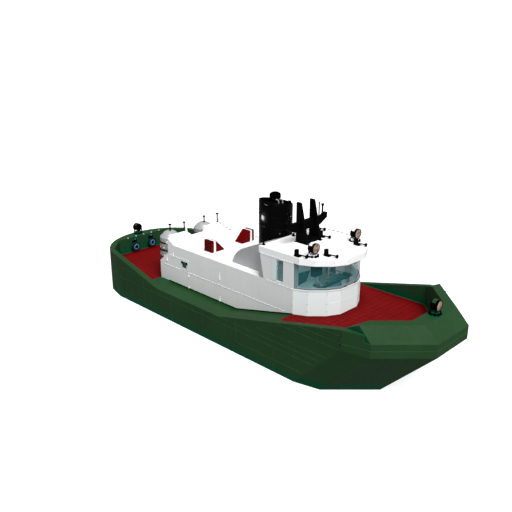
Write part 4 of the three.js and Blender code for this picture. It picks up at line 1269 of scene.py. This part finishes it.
def cabin_fittings():
    """Panels on the bulkhead, a dark sheet of painted shade behind the port quarter windows, posts, overhead
    screens and ceiling lamps.
    """
    piece("bulkhead_panels", "console", [
        (section, [(12.44, 8.05), (14.8, 8.3), (15.68, 10.0), (12.44, 10.25)], 33.32, 33.45),
        (box, (34.5, 35.6), (17.5, 17.59), (8.2, 12.9)), (box, (33.32, 33.42), (6.4, 9.2), (8.1, 9.6))],
        bevel=0.006)
    # Painted shade: a dark sheet behind the port quarter windows.
    piece("port_quarter_shade_sheet", "console", [(band, [(42, 17), (40, 18), (38.9, 18)], 0.42, 0.5, 13.1, 15.85)],
          slot="window_glass")
    piece("cabin_posts", "white", [
        (lathe, (40.0, 16.9, 8.01), UP,
         [(0, 0.3), (3.9, 0.3), (4.1, 0.42), (4.6, 0.42), (4.8, 0.2), (4.84, 0)], 20),
        (lathe, (38.3, 5.2, 8.01), UP, [(0, 0.2), (7.95, 0.2)], 16)])
    piece("overhead_unit_trim", "edging", [(box, (41.48, 42.22), (6.08, 7.92), (13.78, 13.9))],
          slot="screw_bronze", bevel=0.003)
    piece("overhead_screens", "glass_dark", [
        (box, (42.18, 42.25), (6.3, 7.7), (z, z + 0.7)) for z in (14.1, 15.0)], bevel=0.004)
    piece("cabin_ceiling_lights", "lit", [
        (lathe, (x, y, 15.95), DOWN, [(0, 0.9), (0.08, 0.9), (0.16, 0.7), (0.2, 0)], 28)
        for x, y in ((36.4, 8), (36.4, 14), (40.4, 11))])


# Mast

MAST = {"fins": (9.5, 12.55), "half": 0.22, "aft": 35.7, "foot": 37.95, "head": 36.45, "top": 23.1,
        "arm": 3.88}


def mast_fittings():
    """On the mast: foot flanges, stiffening ribs, rounded fin heads and lanterns on the arms."""
    half, aft = MAST["half"], MAST["aft"]
    rake = (MAST["foot"] - MAST["head"]) / (MAST["top"] - BRIDGE_ROOF)
    feet, caps, ribs = [], [], []
    for y in MAST["fins"]:
        feet.append((box, (35.5, 38.1), (y - 0.32, y + 0.32), (BRIDGE_ROOF, 17.1)))
        feet += [(bolt, (x, y + dy, 17.1), UP, 0.05, 0.05) for x in (35.75, 36.4, 37.1, 37.8)
                 for dy in (-0.27, 0.27)]
        caps.append((lathe, (aft, y, 23.02), AHEAD,
                     [(-0.02, 0.19), (0, 0.24), (0.7, 0.24), (0.76, 0.18)], 16))
        for z in (17.9 + i * 0.95 for i in range(6)):
            reach = MAST["foot"] - rake * (z - BRIDGE_ROOF)
            for face in (-1, 1):
                span = (y + face * half, y + face * (half + 0.04))
                ribs.append((box, (aft + 0.05, reach - 0.06), span, (z, z + 0.07)))
    piece("mast_feet", "matt_black", feet, bevel=0.004)
    piece("mast_fin_caps", "matt_black", caps)
    piece("mast_ribs", "matt_black", ribs)
    lantern = [(0, 0.15), (0.04, 0.22), (0.2, 0.22), (0.24, 0.28), (0.3, 0.28), (0.34, 0.1), (0.34, 0)]
    piece("mast_lanterns", "matt_black", [
        (lathe, (36.2, MIDDLE + arm, 21.75), UP, lantern, 16) for arm in (-MAST["arm"], MAST["arm"])])


# Searchlights

LAMPS = [
    # name, station, offset, seat height, colour, which way the lens faces
    ("bow", 59, 11, 12, "green", 1), ("roof_starboard", 41.9, 6.05, 17, "white", 1),
    ("roof_port", 41.9, 15.95, 17, "white", 1), ("stern", -9, 11, 8, "green", -1),
]
DRUM = {"radius": 0.78, "half": 0.58, "axis": 1.3}
FORK = {"in": 0.84, "out": 0.94, "half": 0.13, "foot": 0.3, "floor": 0.4, "waist": 0.72, "top": 1.45}


def lamp_yoke(name, x, y, seat, colour):
    """What turns: a round plinth, a scalloped base and a slim fork with black upper arms."""
    body, ends = f"{name}_light_yoke", (x - FORK["half"], x + FORK["half"])
    near, far, foot, floor, waist = (FORK[key] for key in ("in", "out", "foot", "floor", "waist"))
    piece(f"lamp_{name}_plinth", colour, [
        (lathe, (x, y, seat + 0.01), UP,
         [(0, 0.6), (0.05, 0.64), (0.28, 0.64), (0.34, 0.56), (0.34, 0)], 24)], body)
    piece(f"lamp_{name}_base", "matt_black", [
        (lathe, (x + 0.7 * math.cos(a), y + 0.7 * math.sin(a), seat + 0.012), UP,
         [(0, 0.17), (0.03, 0.2), (0.27, 0.2), (0.31, 0.15), (0.31, 0)], 12) for a in turn(9, 0.5)],
        body, replaces=[f"searchlight_{name}_yoke"])
    outline = [(-far, foot), (far, foot), (far, waist), (near, waist), (near, floor), (-near, floor),
               (-near, waist), (-far, waist)]
    piece(f"lamp_{name}_fork", colour, [(section, [(y + dy, seat + z) for dy, z in outline], *ends)], body,
          bevel=0.01)
    pivots = []
    for arm in (-1, 1):
        pivots.append((box, ends, (y + arm * near, y + arm * far), (seat + waist - 0.01, seat + FORK["top"])))
        pivots.append((lathe, (x, y + arm * 0.88, seat + DRUM["axis"]), (0, arm, 0),
                       [(0, 0.15), (0.12, 0.15), (0.15, 0.1), (0.15, 0)], 12))
    piece(f"lamp_{name}_pivots", "matt_black", pivots, body)


def lamp_drum(name, x, y, seat, colour, facing):
    """What tilts: a drum with cooling fins, its rim and lens, and a bolted strap over the top."""
    body, height = f"{name}_light", seat + DRUM["axis"]
    centre, axis = Vector((x, y, height)), Vector((facing, 0, 0))
    r, half = DRUM["radius"], DRUM["half"]
    piece(f"lamp_{name}_drum", "matt_black", [(lathe, centre, axis, [
        (-half, 0), (-half, 0.52), (-half + 0.06, 0.66), (-half + 0.18, 0.73), (-0.1, 0.74),
        (half - 0.12, 0.74), (half - 0.06, 0.69), (half - 0.1, 0.6), (half - 0.1, 0)], 36)], body,
        replaces=[f"searchlight_{name}_lamp"])
    fins = []
    u, v = square_to(axis)
    for out in (u * math.cos(a) + v * math.sin(a) for a in turn(10)):
        across, proud = axis.cross(out) * 0.03, out * 0.11
        fins.append((loft, *([p - across, p + across, p + across + proud, p - across + proud] for p in (
            centre - axis * (half - 0.16) + out * 0.64, centre - axis * 0.05 + out * 0.64))))
    piece(f"lamp_{name}_fins", "matt_black", fins, body)
    piece(f"lamp_{name}_rim", "matt_black", [(lathe, centre, axis, [
        (half - 0.16, 0.73), (half - 0.12, r), (half, r), (half + 0.02, r - 0.03), (half + 0.01, 0.71),
        (half - 0.1, 0.7)], 36)], body)
    piece(f"lamp_{name}_lens", "lens", [(lathe, centre, axis, [
        (half - 0.12, 0.7), (half - 0.04, 0.7), (half, 0.6), (half + 0.03, 0.3),
        (half + 0.04, 0)], 36)], body)

    def arc(radius, degrees):
        return [(y + radius * math.cos(math.radians(d)), height + radius * math.sin(math.radians(d)))
                for d in degrees]
    degrees = range(35, 146, 10)
    strap = [(section, arc(0.8, degrees) + arc(0.72, degrees[::-1]), x - facing * 0.3, x + facing * 0.2)]
    for bolt_y, bolt_z in arc(0.78, (55, 125)):
        strap.append((bolt, (x - 0.05 * facing, bolt_y, bolt_z),
                      (0, bolt_y - y, bolt_z - height), 0.08, 0.05))
    piece(f"lamp_{name}_strap", colour, strap, body)


def searchlights():
    """The lamps at the bow, at both sides of the wheelhouse roof and at the stern."""
    for name, x, y, seat, colour, facing in LAMPS:
        lamp_yoke(name, x, y, seat, colour)
        lamp_drum(name, x, y, seat, colour, facing)


# Hose reels

REELS = {"starboard": 8.93, "port": 12.9}
REEL = {"station": -6.93, "half": 0.25, "height": 6.1, "bracket": -7.24}


def reels():
    """A hose reel on each stand: a knobbly black drum with a bright blue ring round a black hub."""
    x, half, z = REEL["station"], REEL["half"], REEL["height"]
    for name, y in REELS.items():
        body = f"{name}_reel"
        knobs = [(lathe, (x + half - 0.05, y + 0.87 * math.cos(a), z + 0.87 * math.sin(a)), AHEAD,
                  [(-0.04, 0.12), (0.05, 0.12), (0.08, 0.08), (0.08, 0)], 10) for a in turn(12)]
        piece(f"reel_{name}_drum", "rubber", [(lathe, (x, y, z), AHEAD, [
            (-half, 0.26), (-half, 0.95), (-half + 0.06, 0.98), (-half + 0.1, 0.74), (half - 0.12, 0.74),
            (half - 0.08, 0.98), (half - 0.02, 0.95), (half - 0.02, 0.26)], 40)] + knobs, body,
            replaces=[f"hose_reel_{name}"])
        piece(f"reel_{name}_hose", "rubber", [
            (ring, (x + ahead, y, z), AHEAD, 0.82, 0.07, 40, 8) for ahead in (-0.07, 0.06)], body)
        piece(f"reel_{name}_ring", "blue", [(ring, (x + half - 0.03, y, z), AHEAD, 0.48, 0.07, 40)], body)
        piece(f"reel_{name}_hub", "rubber", [
            (lathe, (x + half - 0.1, y, z), AHEAD,
             [(0, 0.36), (0.16, 0.36), (0.2, 0.3), (0.2, 0.235), (0, 0.235)], 20)], body)
        piece(f"reel_{name}_cap", "blue", [
            (lathe, (-7.1, y, 7.22), UP, [(0, 0.1), (0.04, 0.17), (0.32, 0.18), (0.4, 0.13), (0.42, 0)], 20)])
        face = REEL["bracket"]
        piece(f"reel_{name}_bracket", "black", [
            (box, (face - 0.08, face), (y - 0.42, y + 0.42), (5.3, 7.2))] + [
            (bolt, (face, y + dy, height), AHEAD, 0.04, 0.02)
            for dy in (-0.36, 0.36) for height in (5.5, 6.9)], bevel=0.004)


# Running gear and engine

BLADE = {"root": 0.34, "reach": 1.34, "steps": 8, "thick": 0.07}
BLADE_SECTION = [(-1, 0), (-0.5, 1), (0.1, 1), (0.7, 0.7), (1, 0), (0.7, -0.7), (0.1, -1), (-0.5, -1)]


def blade_outline(origin, turned, hand, t):
    """The blade's section at t, from 0 at the boss to 1 at the tip."""
    radius = BLADE["root"] + t * BLADE["reach"]
    chord = 0.62 * math.sin(math.pi * (0.22 + 0.68 * t)) + 0.12
    slope = math.pi / 2 - math.radians(62 - 40 * t)
    skew = 0.3 * t * t
    thick = BLADE["thick"] * (1 - 0.75 * t)
    outline = []
    for s, lift in BLADE_SECTION:
        ahead = s * chord * math.cos(slope) + lift * thick * math.sin(slope)
        across = s * chord * math.sin(slope) - lift * thick * math.cos(slope)
        angle = (across + skew) * hand / radius
        outline.append(origin + turned @ Vector((ahead, radius * math.sin(angle), radius * math.cos(angle))))
    return outline


def screws():
    """Four twisted blades on a tapered boss."""
    for name, sign in SIDES.items():
        origin = Vector((-0.6, on_side(sign, SHAFT["offset"]), SHAFT["height"]))
        parts = [(lathe, origin, ASTERN, [
            (-0.55, 0.4), (-0.45, 0.43), (0.3, 0.42), (0.55, 0.3), (0.78, 0.1), (0.8, 0)], 28)]
        for turned in (Matrix.Rotation(a, 4, "X") for a in turn(4)):
            parts.append((loft, *(blade_outline(origin, turned, sign, k / BLADE["steps"])
                                  for k in range(BLADE["steps"] + 1))))
        piece(f"screw_{name}_blades", "bronze", parts, f"{name}_screw", smooth=50,
              replaces=[f"propeller_{name}"])


RUDDER_STOCK = -3.6
RUDDER_HALF = [(0.7, 0), (0.62, 0.09), (0.42, 0.15), (0.0, 0.18), (-0.7, 0.14), (-1.5, 0.07), (-2.1, 0.015)]


def rudders():
    """Foil-shaped blades with end plates, a stiffened stock and zinc pads."""
    x = RUDDER_STOCK
    for name, sign in SIDES.items():
        y, body = on_side(sign, SHAFT["offset"]), f"{name}_rudder"
        foil = [(x + dx, y + t) for dx, t in RUDDER_HALF] + [(x + dx, y - t) for dx, t in RUDDER_HALF[:0:-1]]
        wide = [(x + dx, y + t * 1.35 + 0.02) for dx, t in RUDDER_HALF] + [
            (x + dx, y - t * 1.35 - 0.02) for dx, t in RUDDER_HALF[::-1]]
        piece(f"rudder_blade_{name}", "primer", [
            (plan, foil, 0.34, 3.38), (plan, wide, 0.3, 0.36), (plan, wide, 3.36, 3.42)], body, bevel=0.004,
            smooth=25, replaces=[f"rudder_{name}"])
        stock = [(lathe, (x, y, 3.3), UP, [(0, 0.24), (0.2, 0.24), (0.26, 0.17), (0.69, 0.17)], 24)]
        for z in (1.2, 2.3):
            for face in (-1, 1):
                rib = [(-3.2, y + face * 0.12), (-3.2, y + face * 0.2), (-4.8, y + face * 0.15),
                       (-4.8, y + face * 0.02)]
                stock.append((plan, rib, z, z + 0.1))
        piece(f"rudder_stock_{name}", "primer", stock, body)
        piece(f"rudder_zincs_{name}", "zinc", [
            (box, (-4.3, -3.5), (y + face * 0.1, y + face * 0.21), (1.6, 1.95)) for face in (-1, 1)], body,
            bevel=0.004)


def engine():
    """A long diesel on its bed: crankcase, two rows of heads, pipes, a flywheel and a pulley."""
    outline = [(8.6, 1.6), (13.4, 1.6), (13.7, 2.4), (13.7, 3.6), (12.6, 5.0), (9.4, 5.0), (8.3, 3.6),
               (8.3, 2.4)]
    bed = [(box, (14.5, 22.4), (y, y + 0.55), (1.51, 2.1)) for y in (8.25, 13.2)]
    piece("engine_case", "primer", [(section, outline, 14.7, 21.4)] + bed, bevel=0.01, replaces=["engine"])
    heads = []
    for y, lean in ((9.4, -0.35), (12.6, 0.35)):
        for x in (15.2 + i * 1.02 for i in range(6)):
            heads.append((taper, ((x, x + 0.82), (y - 0.55, y + 0.55), 4.6),
                          ((x + 0.06, x + 0.76), (y - 0.4 + lean, y + 0.4 + lean), 6.2)))
            heads.append((bolt, (x + 0.41, y + lean, 6.2), UP, 0.12, 0.1))
    piece("engine_heads", "white", heads, bevel=0.008)
    pipes = [(rod, (15.2, 11, 6.3), (21.3, 11, 6.3), 0.42, 20)]
    for x in (15.6 + i * 1.02 for i in range(6)):
        pipes += [(rod, (x, y, 5.5), (x, 11, 6.2), 0.16, 10) for y in (9.9, 12.1)]
    for y in (8.5, 13.5):
        pipes.append((tube, [(15.0, y, 4.2), (21.2, y, 4.2), (21.5, y, 4.5), (21.5, y, 5.2)], 0.14, 10))
    piece("engine_pipes", "steel", pipes)
    piece("engine_flywheel", "rubber", [
        (lathe, (21.4, 11, 3.4), AHEAD,
         [(0, 1.5), (0.6, 1.5), (0.66, 1.4), (0.66, 0.5), (0.95, 0.4), (1.0, 0)], 40),
        (lathe, (14.7, 11, 3.4), ASTERN, [(0, 1.0), (0.12, 1.0), (0.18, 0.9), (0.18, 0)], 32)])


make_camera()
make_studio()
finish_nodes()

hull_seams()
rail_studs()
belt_plugs()
deck_tread("aft")
deck_tread("fore")
deck_margins()
anodes_and_grids()

house_seams()
front_pins()
casing_window_frames()
door_details()
roof_posts()
trunks()
vents()

funnel()
housing_trim()
side_windows()
corner_seals()
foot_shade_strips()
roof_stitches()
wheelhouse_side_seams()
windscreen_trim()
roof_trim()
roof_horns()

console()
helm()
seats()
cabin_fittings()

mast_fittings()
searchlights()
reels()
screws()
rudders()
engine()
